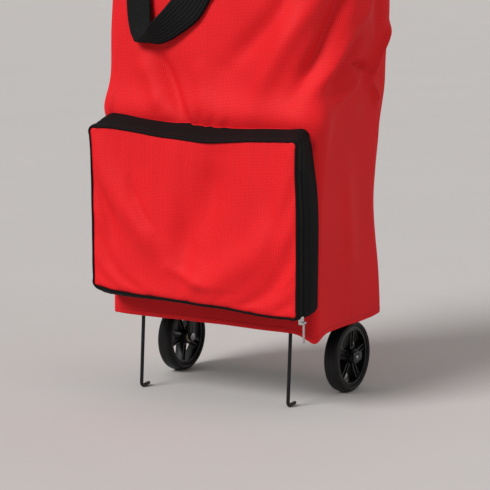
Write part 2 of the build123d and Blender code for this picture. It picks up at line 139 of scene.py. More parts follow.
class TROLLEY_PG_handles(bpy.types.PropertyGroup):
    """Sizes and colours of the webbing handles."""

    thick: length("Webbing thickness", 2.2, "Thickness of the ribbed webbing")
    rib: length("Rib spacing", 2.6, "Distance between the webbing's ribs")
    black: colour("Webbing", "#060607", "Colour of the webbing's yarn")
    thread: colour("Handle thread", "#1C1C1E", "Colour of the box stitching")


class TROLLEY_PG_hard(bpy.types.PropertyGroup):
    """Edge size and colours of the moulded and metal pieces."""

    edge: length("Edge round", 0.35, "Rounding of moulded and stamped edges")
    tyre: colour("Tyre", "#060607", "Colour of the tyre rubber")
    wheel: colour("Wheel", "#070708", "Colour of the moulded wheel")
    wire: colour("Wire", "#08080A", "Colour of the coated wire")
    steel: colour("Black steel", "#0D0E10", "Colour of the powder coat")
    zinc: colour("Zinc", "#B9BCC0", "Colour of the plated steel")
    bush: colour("Bush", "#D8C9A2", "Colour of the nylon bush")
    tab: colour("Tab", "#2B2D30", "Colour of the release tab")
    board: colour("Board", "#2A2725", "Colour of the pressed board")


class TROLLEY_PG_stage(bpy.types.PropertyGroup):
    """Camera, floor and lights."""

    azimuth: bpy.props.FloatProperty(
        name="Azimuth", description="Camera angle round the trolley", subtype="ANGLE",
        default=math.radians(31.53),
    )
    elevation: bpy.props.FloatProperty(
        name="Elevation", description="Camera angle above the floor", subtype="ANGLE",
        default=math.radians(9.0),
    )
    distance: length("Distance", 3069, "From the camera to the point it is aimed at")
    aim_height: length("Aim height", 200, "Height of the point the camera is aimed at")
    lens: bpy.props.FloatProperty(
        name="Lens", description="Focal length on a 36 mm wide sensor, in millimetres",
        default=161.6, min=1.0,
    )
    floor: colour("Floor", "#BEBAB8", "Colour of the plain floor")
    key: bpy.props.FloatProperty(
        name="Key light", description="Strength of the soft main light", default=2.95,
    )
    fill: bpy.props.FloatProperty(
        name="Fill light", description="Power of the weak light from the right, in watts",
        default=9.0,
    )
    sky: bpy.props.FloatProperty(
        name="Sky", description="Strength of the even light all round", default=0.50,
    )


# ================================================================ materials
def add(tree, kind, links=None, **settings):
    """Adds a node, sets its settings, and gives its inputs values or other nodes' outputs."""
    node = tree.nodes.new(kind)
    for key, value in settings.items():
        setattr(node, key, value)
    for key, value in (links or {}).items():
        if isinstance(value, bpy.types.NodeSocket):
            tree.links.new(value, node.inputs[key])
        else:
            node.inputs[key].default_value = value
    return node


def new_finish(name):
    """A new material and its empty tree."""
    made = bpy.data.materials.new(name)
    made.use_nodes = True
    made.node_tree.nodes.clear()
    return made, made.node_tree


def tinted(base, factor):
    """A colour made darker or lighter by a factor, still opaque."""
    return [min(1.0, c * factor) for c in base[:3]] + [1.0]


def shade(tree, tone, low, high, height, strength, depth_mm, **shader):
    """Ends a finish: tone mixes the colour from low to high, and height stands up by a real depth."""
    mix = add(tree, "ShaderNodeMix", {0: tone, 6: low, 7: high}, data_type="RGBA")
    bump = add(
        tree, "ShaderNodeBump", {"Strength": strength, "Distance": depth_mm * MM, "Height": height},
    )
    inputs = {key.replace("_", " "): value for key, value in shader.items()}
    inputs.update({"Base Color": mix.outputs[2], "Normal": bump.outputs[0]})
    bsdf = add(tree, "ShaderNodeBsdfPrincipled", inputs)
    add(tree, "ShaderNodeOutputMaterial", {"Surface": bsdf.outputs[0]})


WAVE_PERIOD = 2 * math.pi / 20      # a wave node at scale 1 repeats at this distance, in metres


def woven(tree, coords, **spacings):
    """Soft ribs across each named axis, one for each spacing, multiplied where threads cross."""
    tone = None
    for axis, spacing in spacings.items():
        ribs = add(
            tree, "ShaderNodeTexWave",
            {"Vector": coords, "Scale": WAVE_PERIOD / spacing, "Distortion": 0.25, "Detail": 1.0},
            bands_direction=axis, wave_profile="SIN",
        ).outputs["Fac"]
        if tone:
            ribs = add(tree, "ShaderNodeMath", {0: tone, 1: ribs}, operation="MULTIPLY").outputs[0]
        tone = ribs
    return tone


def oxford_cloth(name, base, between, spacing):
    """Coated 600D polyester oxford: a matt plain weave with slubs and a slightly uneven dye."""
    made, tree = new_finish(name)
    coords = add(tree, "ShaderNodeTexCoord").outputs["UV"]
    weave = woven(tree, coords, X=spacing, Y=spacing * 0.86)
    # slubs about 3 mm long, and dye that varies over about 110 mm
    slub_space = add(tree, "ShaderNodeMapping", {"Vector": coords, "Scale": (300, 340, 1)})
    slub = add(tree, "ShaderNodeTexNoise", {"Vector": slub_space.outputs[0], "Scale": 1.0, "Detail": 3.0})
    blotch = add(tree, "ShaderNodeTexNoise", {"Vector": coords, "Scale": 9.0, "Detail": 2.0})
    worn = add(
        tree, "ShaderNodeMath", {0: slub.outputs["Fac"], 1: blotch.outputs["Fac"]}, operation="MULTIPLY",
    ).outputs[0]
    tone = add(tree, "ShaderNodeMath", {0: weave, 1: worn}, operation="ADD").outputs[0]
    # the deeper red in the weave's valleys is painted shade; the slubs and blotches add uneven dye
    shade(tree, tone, between, base, tone, 0.35, 0.22,
          Roughness=0.66, IOR=1.5, Specular_IOR_Level=0.16)
    return made


def woven_tape(name, base, spacing):
    """Polyester zip tape: a tight, slightly glossy black weave that greys where light grazes it."""
    made, tree = new_finish(name)
    coords = add(tree, "ShaderNodeTexCoord").outputs["UV"]
    rows = woven(tree, coords, Y=spacing)
    # fuzz of about 1.7 mm, coarser than real so that it shows
    fuzz = add(tree, "ShaderNodeTexNoise", {"Vector": coords, "Scale": 600.0, "Detail": 2.0})
    tone = add(tree, "ShaderNodeMath", {0: rows, 1: fuzz.outputs["Fac"]}, operation="MULTIPLY").outputs[0]
    # the rows are painted up to 1.8 times lighter as painted highlights, broken up by the fuzz
    shade(tree, tone, base, tinted(base, 1.8), tone, 0.5, 0.3,
          Roughness=0.75, IOR=1.5, Sheen_Weight=0.006, Sheen_Roughness=0.4, Specular_IOR_Level=0.10)
    return made


def ribbed_webbing(name, base, spacing):
    """Polypropylene webbing: crosswise ribs in long columns, with a dull plastic shine."""
    made, tree = new_finish(name)
    coords = add(tree, "ShaderNodeTexCoord").outputs["UV"]
    weave = woven(tree, coords, Y=spacing, X=spacing * 1.7)
    # fuzz of about 1.1 mm, coarser than real so that it shows
    fuzz = add(tree, "ShaderNodeTexNoise", {"Vector": coords, "Scale": 900.0, "Detail": 2.0})
    tone = add(tree, "ShaderNodeMath", {0: weave, 1: fuzz.outputs["Fac"]}, operation="MULTIPLY").outputs[0]
    # the rib crests are painted up to six times lighter as painted highlights, broken up by the fuzz
    shade(tree, tone, base, tinted(base, 6.0), weave, 0.9, 0.9,
          Roughness=0.62, IOR=1.49, Sheen_Weight=0.008, Sheen_Roughness=0.35, Specular_IOR_Level=0.16)
    return made


def grained(name, base, grain_mm, depth_mm, **shader):
    """A moulded, coated or plated surface: one colour, uneven gloss and a fine real grain."""
    made, tree = new_finish(name)
    coords = add(tree, "ShaderNodeTexCoord").outputs["Object"]
    grain = grain_mm * MM
    fine = add(tree, "ShaderNodeTexNoise", {"Vector": coords, "Scale": 1 / grain, "Detail": 3.0})
    broad = add(tree, "ShaderNodeTexNoise", {"Vector": coords, "Scale": 1 / (40 * grain), "Detail": 2.0})
    gloss = shader["Roughness"]
    shader["Roughness"] = add(
        tree, "ShaderNodeMapRange",
        {"Value": broad.outputs["Fac"], "From Min": 0.3, "From Max": 0.7,
         "To Min": gloss * 0.85, "To Max": min(1.0, gloss * 1.2)},
    ).outputs[0]
    shade(tree, broad.outputs["Fac"], tinted(base, 0.72), base, fine.outputs["Fac"], 0.4, depth_mm, **shader)
    return made


def pressed_board(name, base):
    """Hard-pressed fibreboard: a dark flat face with pale chips and short fibres."""
    made, tree = new_finish(name)
    coords = add(tree, "ShaderNodeTexCoord").outputs["Object"]
    # chips of about 2.4 mm and fibres of about 3.8 mm
    chips = add(tree, "ShaderNodeTexVoronoi", {"Vector": coords, "Scale": 420.0})
    fibres = add(tree, "ShaderNodeTexNoise", {"Vector": coords, "Scale": 260.0, "Detail": 4.0})
    tone = add(
        tree, "ShaderNodeMath", {0: chips.outputs["Distance"], 1: fibres.outputs["Fac"]},
        operation="MULTIPLY",
    ).outputs[0]
    shade(tree, tone, base, tinted(base, 2.6), fibres.outputs["Fac"], 0.3, 0.2, Roughness=0.72, IOR=1.5)
    return made


FINISHES = {}


def finish(name):
    """The named finish, made the first time that a piece asks for it."""
    if name in FINISHES:
        return FINISHES[name]
    scene = bpy.context.scene
    bag, case, strap, hard = scene.trolley_bag, scene.trolley_case, scene.trolley_handles, scene.trolley_hard
    makers = {
        # woven cloth: dull, slightly fuzzy red, with painted shade between the threads
        "red_oxford_cloth": lambda n: oxford_cloth(n, bag.red, bag.red_shade_and_dye, bag.thread),
        # spun polyester thread: a dull bead of red at each stitch
        "sewing_thread_red": lambda n: grained(n, bag.stitching, 0.8, 0.1, Roughness=0.6, IOR=1.5),
        # woven tape: flat black with fine rows painted lighter as highlights
        "woven_zip_tape": lambda n: woven_tape(n, case.tape, bag.thread * 0.6),
        # moulded nylon teeth: small black beads with a soft highlight
        "moulded_zip_teeth": lambda n: grained(n, case.teeth, 1.5, 0.05, Roughness=0.5, IOR=1.45),
        # woven webbing: black, with painted highlights on its ribs
        "ribbed_webbing": lambda n: ribbed_webbing(n, strap.black, strap.rib),
        # spun polyester thread: a dull black bead at each stitch
        "sewing_thread_black": lambda n: grained(n, strap.thread, 0.8, 0.1, Roughness=0.55, IOR=1.5),
        # moulded rubber: nearly black, broad soft highlight
        "tyre_rubber": lambda n: grained(
            n, hard.tyre, 1.2, 0.12, Roughness=0.52, IOR=1.52, Specular_IOR_Level=0.3,
        ),
        # moulded polypropylene: black with a satin highlight on every rib
        "moulded_polypropylene": lambda n: grained(
            n, hard.wheel, 1.6, 0.06, Roughness=0.34, IOR=1.49, Specular_IOR_Level=0.42,
        ),
        # dip-coated wire: smooth black with a thin bright line
        "coated_wire": lambda n: grained(
            n, hard.wire, 4.0, 0.05, Roughness=0.36, IOR=1.5, Specular_IOR_Level=0.35,
        ),
        # powder coat: black with an orange-peel surface
        "powder_coated_steel": lambda n: grained(n, hard.steel, 2.2, 0.12, Roughness=0.45, IOR=1.5),
        # zinc plate: bright, slightly blue, softly blurred reflections
        "zinc_plated_steel": lambda n: grained(n, hard.zinc, 1.5, 0.04, Roughness=0.28, Metallic=1.0),
        # polished die-cast zinc: brighter and sharper
        "polished_zinc": lambda n: grained(
            n, linear("#D5D6D8"), 2.0, 0.02, Roughness=0.16, Metallic=1.0,
        ),
        # natural nylon: cream, waxy
        "moulded_nylon": lambda n: grained(
            n, hard.bush, 2.0, 0.03, Roughness=0.42, IOR=1.53, Subsurface_Weight=0.15,
            Subsurface_Scale=0.003,
        ),
        # moulded acetal: dark grey, smoother and slicker than the wheel
        "moulded_acetal": lambda n: grained(n, hard.tab, 1.5, 0.05, Roughness=0.38, IOR=1.48),
        # pressed fibreboard: dark and flat, flecked with paler chips
        "pressed_fibreboard": lambda n: pressed_board(n, hard.board),
    }
    FINISHES[name] = makers[name](name)
    return FINISHES[name]


# ================================================================ mesh helpers
def smooth(t):
    """0 below 0, 1 above 1, and an even S between."""
    t = min(1.0, max(0.0, t))
    return t * t * (3 - 2 * t)


def bell(value, centre, width):
    """1 at the centre, falling off smoothly to almost 0 at twice the width."""
    return math.exp(-((value - centre) / width) ** 2)


def profile(value, *stops):
    """Passes smoothly through (place, amount) stops and stays level beyond the ends."""
    if value <= stops[0][0]:
        return stops[0][1]
    for (a, low), (b, high) in zip(stops, stops[1:]):
        if value <= b:
            return low + (high - low) * smooth((value - a) / (b - a))
    return stops[-1][1]


def new_piece(name, points, faces, uvs=None):
    """A mesh object at the origin from points, faces and one UV for each point."""
    mesh = bpy.data.meshes.new(name)
    mesh.from_pydata(points, [], faces)
    if uvs:
        layer = mesh.uv_layers.new(name="cloth")
        for loop in mesh.loops:
            layer.data[loop.index].uv = uvs[loop.vertex_index]
    for polygon in mesh.polygons:
        polygon.use_smooth = True
    mesh.update()
    piece = bpy.data.objects.new(name, mesh)
    bpy.context.scene.collection.objects.link(piece)
    return piece


def grid_faces(rows, columns, closed=False, looped=False):
    """Quads between rows of points; closed joins the last column to the first, looped the last row."""
    faces = []
    for r in range(rows if looped else rows - 1):
        s = (r + 1) % rows
        for c in range(columns if closed else columns - 1):
            d = (c + 1) % columns
            faces.append((r * columns + c, r * columns + d, s * columns + d, s * columns + c))
    return faces


def apply_modifiers(piece):
    """Bakes a piece's modifiers into a plain mesh."""
    graph = bpy.context.evaluated_depsgraph_get()
    mesh = bpy.data.meshes.new_from_object(piece.evaluated_get(graph))
    old = piece.data
    piece.modifiers.clear()
    piece.data = mesh
    bpy.data.meshes.remove(old)
    return piece


def thicken(piece, thickness, offset=-1.0):
    """Gives a single-layer sheet its real thickness and closes its edges."""
    wall = piece.modifiers.new("thickness", "SOLIDIFY")
    wall.thickness = thickness
    wall.offset = offset
    wall.use_even_offset = False
    return apply_modifiers(piece)


def dress(piece, finish_name, body, slot, *nodes):
    """Gives a piece its finish, puts it on its body and hides the imported parts it stands for; the slot is
    not used.
    """
    piece.data.materials.clear()
    piece.data.materials.append(finish(finish_name))
    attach(piece, body)
    if nodes:
        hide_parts(*nodes)
    return piece


def body_of_node(node):
    """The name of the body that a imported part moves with."""
    for body, members in frame["record"]["behaviour"]["bodies"].items():
        if node in members:
            return body
    raise ValueError(f"{node} is on no body")


def slot_of_node(node):
    """The record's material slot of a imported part."""
    for row in frame["record"]["subparts"]:
        if row["node"] == node:
            return row["material_slot"]
    raise ValueError(f"{node} has no slot")


MERGE = 1e-6                        # metres between points that are one point
FLAT_ANGLE = math.radians(0.6)      # faces within this angle lie in one plane
SHARP_ANGLE = math.radians(32)      # edges beyond this angle are rounded and stay sharp


def finished_copy(node, finish_name, edge):
    """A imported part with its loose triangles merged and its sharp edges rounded."""
    name = f"finished_{node}"
    mesh = frame["nodes"][node].data.copy()
    mesh.name = name
    shape = bmesh.new()
    shape.from_mesh(mesh)
    bmesh.ops.remove_doubles(shape, verts=shape.verts, dist=MERGE)
    bmesh.ops.dissolve_limit(shape, angle_limit=FLAT_ANGLE, verts=shape.verts, edges=shape.edges)
    shape.to_mesh(mesh)
    shape.free()
    mesh.materials.clear()
    piece = bpy.data.objects.new(name, mesh)
    bpy.context.scene.collection.objects.link(piece)
    if edge:
        bevel = piece.modifiers.new("edge", "BEVEL")
        bevel.width = edge
        bevel.segments = 2
        bevel.limit_method = "ANGLE"
        bevel.angle_limit = SHARP_ANGLE
        bevel.use_clamp_overlap = True
        apply_modifiers(piece)
    for polygon in piece.data.polygons:
        polygon.use_smooth = True
    piece.data.set_sharp_from_angle(angle=SHARP_ANGLE)
    return dress(piece, finish_name, body_of_node(node), slot_of_node(node), node)


# ================================================================ repeated shapes
def repeat_tree(finish_name):
    """Geometry nodes that set one small rounded bar after another along paths."""
    tree = bpy.data.node_groups.new(f"repeat_{finish_name}", "GeometryNodeTree")
    face = tree.interface
    face.new_socket("Geometry", in_out="INPUT", socket_type="NodeSocketGeometry")
    for label in ("Pitch", "Length", "Width", "Rise"):
        face.new_socket(label, in_out="INPUT", socket_type="NodeSocketFloat")
    face.new_socket("Geometry", in_out="OUTPUT", socket_type="NodeSocketGeometry")
    given = add(tree, "NodeGroupInput").outputs
    curve = add(tree, "GeometryNodeMeshToCurve", {"Mesh": given["Geometry"]})
    points = add(
        tree, "GeometryNodeCurveToPoints",
        {"Curve": curve.outputs[0], "Length": given["Pitch"]}, mode="LENGTH",
    )
    bar = add(
        tree, "GeometryNodeMeshCylinder",
        {"Vertices": 6, "Radius": 0.5, "Depth": 1.0}, fill_type="NGON",
    )
    size = add(
        tree, "ShaderNodeCombineXYZ", {"X": given["Width"], "Y": given["Rise"], "Z": given["Length"]},
    )
    placed = add(
        tree, "GeometryNodeInstanceOnPoints",
        {"Points": points.outputs["Points"], "Instance": bar.outputs["Mesh"],
         "Rotation": points.outputs["Rotation"], "Scale": size.outputs[0]},
    )
    real = add(tree, "GeometryNodeRealizeInstances", {"Geometry": placed.outputs[0]})
    coloured = add(
        tree, "GeometryNodeSetMaterial",
        {"Geometry": real.outputs[0], "Material": finish(finish_name)},
    )
    add(tree, "NodeGroupOutput", {"Geometry": coloured.outputs[0]})
    return tree


def repeat_along(name, paths, finish_name, body, slot, pitch, bar_length, width, rise):
    """Small bars along each path, such as stitches or teeth, as one plain mesh."""
    points, edges = [], []
    for path in paths:
        first = len(points)
        points.extend(path)
        edges.extend((first + i, first + i + 1) for i in range(len(path) - 1))
    mesh = bpy.data.meshes.new(name)
    mesh.from_pydata(points, edges, [])
    piece = bpy.data.objects.new(name, mesh)
    bpy.context.scene.collection.objects.link(piece)
    tree = repeat_tree(finish_name)
    modifier = piece.modifiers.new("repeat", "NODES")
    modifier.node_group = tree
    sockets = {
        item.name: item.identifier for item in tree.interface.items_tree if item.in_out == "INPUT"
    }
    values = {"Pitch": pitch, "Length": bar_length, "Width": width, "Rise": rise}
    for label, value in values.items():
        modifier[sockets[label]] = value
    apply_modifiers(piece)
    for polygon in piece.data.polygons:
        polygon.use_smooth = True
    return dress(piece, finish_name, body, slot)


# ================================================================ the bag's shape
HALF = (WALL_RIGHT - WALL_LEFT) / 2
DEPTH = WALL_BACK - WALL_FRONT
SIDE_AT = HALF                      # unrolled distance where the right side starts
BACK_AT = HALF + DEPTH
LEFT_AT = 3 * HALF + DEPTH

# Corner radii by height: the bag is boxy at its stiff base and slack at the top.
FRONT_RIGHT = (
    (0.10, 0.009), (0.24, 0.013), (0.36, 0.028), (0.46, 0.056), (0.56, 0.078), (0.69, 0.085),
)
FRONT_LEFT = ((0.10, 0.010), (0.40, 0.012), (0.56, 0.026), (0.69, 0.034))
BACK_RIGHT = ((0.10, 0.010), (0.27, 0.026), (0.40, 0.020), (0.55, 0.015), (0.69, 0.030))
BACK_LEFT = ((0.10, 0.010), (0.30, 0.030), (0.50, 0.040), (0.69, 0.036))

# Folds in the unrolled cloth: points (distance round, height), half width, outward rise.
FOLD_STRENGTH = 1.45                # every rise in the list is multiplied by this
FOLDS = (
    # front wall, right half: two long slack folds running down from the gathered top
    (((0.245, 0.600), (0.222, 0.549), (0.178, 0.480), (0.130, 0.418)), 0.0135, -0.0098),
    (((0.298, 0.570), (0.250, 0.505), (0.204, 0.460), (0.160, 0.425)), 0.0120, 0.0072),
    (((0.148, 0.600), (0.111, 0.535), (0.065, 0.490), (0.027, 0.455)), 0.0150, -0.0060),
    (((0.200, 0.575), (0.150, 0.525), (0.115, 0.485), (0.087, 0.440), (0.072, 0.400)), 0.0160, 0.0056),
    # front wall under the hanging handle
    (((-0.096, 0.490), (-0.074, 0.455), (-0.058, 0.425), (-0.044, 0.400), (-0.030, 0.370)), 0.0080, -0.0062),
    (((-0.116, 0.470), (-0.090, 0.430), (-0.068, 0.390)), 0.0130, 0.0046),
    (((-0.020, 0.470), (-0.010, 0.430), (-0.004, 0.390)), 0.0150, 0.0026),
    (((-0.034, 0.400), (-0.026, 0.372)), 0.0032, -0.0026),
    (((-0.012, 0.396), (-0.009, 0.370)), 0.0034, -0.0026),
    (((0.010, 0.392), (0.007, 0.370)), 0.0034, -0.0023),
    (((0.034, 0.386), (0.026, 0.370)), 0.0036, -0.0020),
    # right side: a pulled point with creases running away from it
    (((0.240, 0.462), (0.268, 0.457), (0.290, 0.452)), 0.0042, -0.0075),
    (((0.352, 0.515), (0.322, 0.478), (0.298, 0.448), (0.284, 0.432)), 0.0048, 0.0066),
    (((0.284, 0.440), (0.304, 0.420), (0.322, 0.398)), 0.0050, 0.0055),
    (((0.272, 0.540), (0.246, 0.490), (0.218, 0.452), (0.196, 0.420)), 0.0125, -0.0070),
    (((0.262, 0.445), (0.236, 0.425), (0.205, 0.408)), 0.0070, 0.0035),
    (((0.318, 0.610), (0.305, 0.540), (0.312, 0.480)), 0.0130, -0.0043),
    (((0.250, 0.330), (0.262, 0.240), (0.256, 0.160)), 0.0180, 0.0029),
    # back wall
    (((0.420, 0.610), (0.450, 0.500), (0.520, 0.400)), 0.0150, -0.0070),
    (((0.395, 0.560), (0.430, 0.460), (0.480, 0.380)), 0.0140, 0.0061),
    (((0.640, 0.560), (0.600, 0.470), (0.540, 0.390)), 0.0150, -0.0061),
    (((0.450, 0.330), (0.520, 0.240), (0.560, 0.170)), 0.0180, 0.0043),
    (((0.620, 0.340), (0.590, 0.250), (0.600, 0.180)), 0.0160, -0.0038),
    # left side
    (((0.720, 0.600), (0.745, 0.500), (0.790, 0.420)), 0.0140, -0.0067),
    (((0.760, 0.560), (0.785, 0.480), (0.820, 0.400)), 0.0130, 0.0055),
    (((0.740, 0.330), (0.770, 0.240), (0.760, 0.170)), 0.0170, 0.0038),
)


def distance_to_path(path, u, z):
    """Distance from (u, z) to a run of points, and how far along it the nearest place is."""
    best, at = 1e9, 0.0
    count = len(path) - 1
    for i in range(count):
        (ua, za), (ub, zb) = path[i], path[i + 1]
        du, dz = ub - ua, zb - za
        t = ((u - ua) * du + (z - za) * dz) / (du * du + dz * dz)
        t = min(1.0, max(0.0, t))
        gap = math.hypot(u - ua - t * du, z - za - t * dz)
        if gap < best:
            best, at = gap, (i + t) / count
    return best, at


def fold_rise(u, z):
    """How far the folds lift the cloth off its smooth shape."""
    rise = 0.0
    for path, width, height in FOLDS:
        low_u = min(p[0] for p in path) - 3 * width
        high_u = max(p[0] for p in path) + 3 * width
        if not low_u < u < high_u:
            continue
        gap, along = distance_to_path(path, u, z)
        ends = smooth(along / 0.3) * smooth((1 - along) / 0.3)
        rise += FOLD_STRENGTH * height * math.exp(-(gap / width) ** 2) * (0.25 + 0.75 * ends)
    return rise


def case_mask(u, z):
    """0 where the case is sewn on, 1 well outside it."""
    across = smooth((abs(u) - (CASE_HI.x - 0.006)) / 0.012) if u < HALF else 1.0
    above = smooth((z - CASE_HI.z + 0.014) / 0.016)
    below = smooth((CASE_LO.z + 0.002 - z) / 0.006)
    return max(across, above, below)


def bulge(u, z):
    """How far the wall stands out of its flat panel at an unrolled place."""
    settings = bpy.context.scene.trolley_bag
    rise = 0.0
    wrapped = min(abs(u), 2 * (2 * HALF + DEPTH) - u)
    on_front = smooth((HALF + 0.05 - wrapped) / 0.05)
    near_left = smooth((-0.09 - u) / 0.06) if u < HALF else 0.0
    rise += settings.front_bulge * bell(z, 0.390, 0.030) * on_front * (1 - 0.35 * near_left)
    rise += 0.003 * bell(z, 0.50, 0.08) * on_front
    for start, end in ((SIDE_AT, BACK_AT), (LEFT_AT, LEFT_AT + DEPTH)):
        if start - 0.03 < u < end + 0.03:
            across = smooth((u - start - 0.01) / 0.09) * smooth((end + 0.03 - u) / 0.05)
            swell = settings.side_bulge * (1.0 if start == SIDE_AT else 0.25)
            rise += swell * profile(
                z, (0.36, 0.0), (0.44, 0.6), (0.54, 1.0), (0.62, 1.0), (0.684, 0.45),
            ) * across
            rise -= settings.waist * bell(z, 0.265, 0.07) * across
    if BACK_AT < u < LEFT_AT:
        across = math.sin(math.pi * (u - BACK_AT) / (LEFT_AT - BACK_AT))
        rise += 0.005 * across * bell(z, 0.48, 0.11)
        rise -= 0.003 * across * bell(z, 0.27, 0.08)
    slack = profile(
        z, (0.11, 0.12), (0.30, 0.35), (0.42, 1.0), (TAB_FOOT - 0.025, 1.0), (TAB_FOOT, 0.2),
    )
    tall = Vector((u * 9 + z * 5, z * 6 - u * 4, 0.3))
    small = Vector((u * 26 + z * 9, z * 20 - u * 8, 5.1))
    rise += slack * (0.0026 * noise.noise(tall) + 0.0011 * noise.noise(small))
    rim = 1 - smooth((z - TAB_FOOT + 0.035) / 0.035)
    rise += fold_rise(u, z) * rim
    return rise * case_mask(u, z)


def corner_radii(z):
    """The outline's four corner radii at one height."""
    return [profile(z, *stops) for stops in (FRONT_LEFT, FRONT_RIGHT, BACK_RIGHT, BACK_LEFT)]


def bag_columns():
    """Stations round the bag as (piece of the outline, share along it)."""
    counts = (
        ("front", 58), ("front_right", 22), ("right", 28), ("back_right", 12),
        ("back", 54), ("back_left", 12), ("left", 28), ("front_left", 10),
    )
    return [(part, i / count) for part, count in counts for i in range(count)]


def bag_station(part, t, z):
    """The smooth outline at one station: place, outward direction and unrolled distance."""
    fl, fr, br, bl = corner_radii(z)
    if part == "front":
        x = WALL_LEFT + fl + t * (2 * HALF - fl - fr)
        return Vector((x, WALL_FRONT, z)), Vector((0, -1, 0)), x
    if part == "right":
        y = WALL_FRONT + fr + t * (DEPTH - fr - br)
        return Vector((WALL_RIGHT, y, z)), Vector((1, 0, 0)), SIDE_AT + y - WALL_FRONT
    if part == "back":
        x = WALL_RIGHT - br - t * (2 * HALF - br - bl)
        return Vector((x, WALL_BACK, z)), Vector((0, 1, 0)), BACK_AT + WALL_RIGHT - x
    if part == "left":
        y = WALL_BACK - bl - t * (DEPTH - bl - fl)
        return Vector((WALL_LEFT, y, z)), Vector((-1, 0, 0)), LEFT_AT + WALL_BACK - y
    centre_x, centre_y, radius, start, at = {
        "front_right": (WALL_RIGHT - fr, WALL_FRONT + fr, fr, -90, SIDE_AT),
        "back_right": (WALL_RIGHT - br, WALL_BACK - br, br, 0, BACK_AT),
        "back_left": (WALL_LEFT + bl, WALL_BACK - bl, bl, 90, LEFT_AT),
        "front_left": (WALL_LEFT + fl, WALL_FRONT + fl, fl, 180, LEFT_AT + DEPTH),
    }[part]
    angle = math.radians(start + 90 * t)
    out = Vector((math.cos(angle), math.sin(angle), 0))
    place = Vector((centre_x, centre_y, z)) + radius * out
    return place, out, at + (2 * t - 1) * radius


def foot_edge(u):
    """How far the bag's lower edge hangs below its straight line."""
    settings = bpy.context.scene.trolley_bag
    droop = settings.droop * bell(u, SIDE_AT - 0.002, 0.020)
    wavy = 0.0012 * noise.noise(Vector((u * 22, 0.7, 2.2)))
    lift = 0.003 * bell(u, BACK_AT, 0.018) + 0.002 * bell(u, -HALF, 0.010)
    return droop + wavy - lift


def bag_point(part, t, z, inside=0.0):
    """A point of the bag's outer face, or that far inside it."""
    place, out, u = bag_station(part, t, z)
    low = 1 - smooth((z - BAG_FOOT) / 0.045)
    place = place + out * (bulge(u, z) - inside)
    place.z -= foot_edge(u) * low
    return place, u


def front_wall_y(x, z):
    """The y of the front wall's outer face, which turns away at its rounded corners."""
    left, right, _, _ = corner_radii(z)
    radius = right if x > 0 else left
    beyond = (abs(x) - HALF + radius) / radius
    if beyond <= 0:
        return WALL_FRONT - bulge(x, z)
    angle = math.asin(min(1.0, beyond))
    u = math.copysign(HALF - radius + 4 * radius * angle / math.pi, x)
    return WALL_FRONT + radius * (1 - math.cos(angle)) - bulge(u, z) * math.cos(angle)


def bag_ring(z, inside=0.0):
    """A closed run of points round the bag at one height."""
    ring = [bag_point(part, t, z, inside)[0] for part, t in bag_columns()]
    return ring + ring[:1]


def make_bag_wall(settings):
    """One sheet from the foot hem's inner edge, down round the foot, up the wall and over the rim."""
    columns = bag_columns()
    tuck = 2.2 * MM                 # the hems lie this far inside the wall's face
    turn = 0.8 * MM                 # height over which an edge turns in
    soft = 0.6 * MM                 # the wall's own face stops short of its edges by this
    # each row: height, distance inside the face, distance along the cloth
    rows = []
    for share in (1.0, 0.6, 0.25):
        rows.append((BAG_FOOT + settings.foot_hem * share, tuck, settings.foot_hem * (1 - share)))
    rows.append((BAG_FOOT + turn, tuck * 0.9, settings.foot_hem))
    rows.append((BAG_FOOT, tuck * 0.45, settings.foot_hem + 1 * MM))
    count = round((BAG_RIM - BAG_FOOT) / settings.grid)
    for i in range(count + 1):
        z = BAG_FOOT + (BAG_RIM - BAG_FOOT) * i / count
        z += soft if i == 0 else 0.0
        z -= soft if i == count else 0.0
        rows.append((z, 0.0, settings.foot_hem + 2 * MM + z - BAG_FOOT))
    top = BAG_RIM - BAG_FOOT + settings.foot_hem
    rows.append((BAG_RIM, tuck * 0.5, top + 3 * MM))
    rows.append((BAG_RIM - turn, tuck, top + 4 * MM))
    for share in (0.2, 0.45, 0.7, 0.9, 1.0):
        rows.append((BAG_RIM - settings.hem * share, tuck, top + 4 * MM + settings.hem * share))
    points, uvs = [], []
    for z, inside, along in rows:
        for part, t in columns:
            place, u = bag_point(part, t, z, inside)
            points.append(place)
            uvs.append((u, along))
    wall = new_piece("bag_wall", points, grid_faces(len(rows), len(columns), closed=True), uvs)
    return thicken(wall, settings.cloth)


def make_bag_floor():
    """The bag's cloth bottom, a little uneven and turned down at its edge."""
    lo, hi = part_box("bottom_panel")
    nx, ny = 64, 36
    fit = 0.992                     # share of the panel's size, clear of the walls
    points, uvs = [], []
    for j in range(ny + 1):
        for i in range(nx + 1):
            u, v = 2 * i / nx - 1, 2 * j / ny - 1
            edge = max(abs(u), abs(v))
            x = (lo.x + hi.x) / 2 + u * (hi.x - lo.x) / 2 * fit
            y = (lo.y + hi.y) / 2 + v * (hi.y - lo.y) / 2 * fit
            soft = 0.4 * MM * noise.noise(Vector((x * 30, y * 30, 1.0)))
            turned = 3.0 * MM * smooth((edge - 0.965) / 0.035)
            points.append((x, y, hi.z - 0.3 * MM + soft - turned))
            uvs.append((x, y))
    floor = new_piece("bag_floor_cloth", points, grid_faces(ny + 1, nx + 1), uvs)
    return thicken(floor, 1.4 * MM)


# ================================================================ the zip case
CASE_MID = (CASE_LO.z + CASE_HI.z) / 2
CASE_R = 11 * MM
CORNER_POINT = 2.4 * MM             # the lid's corners are drawn out this far


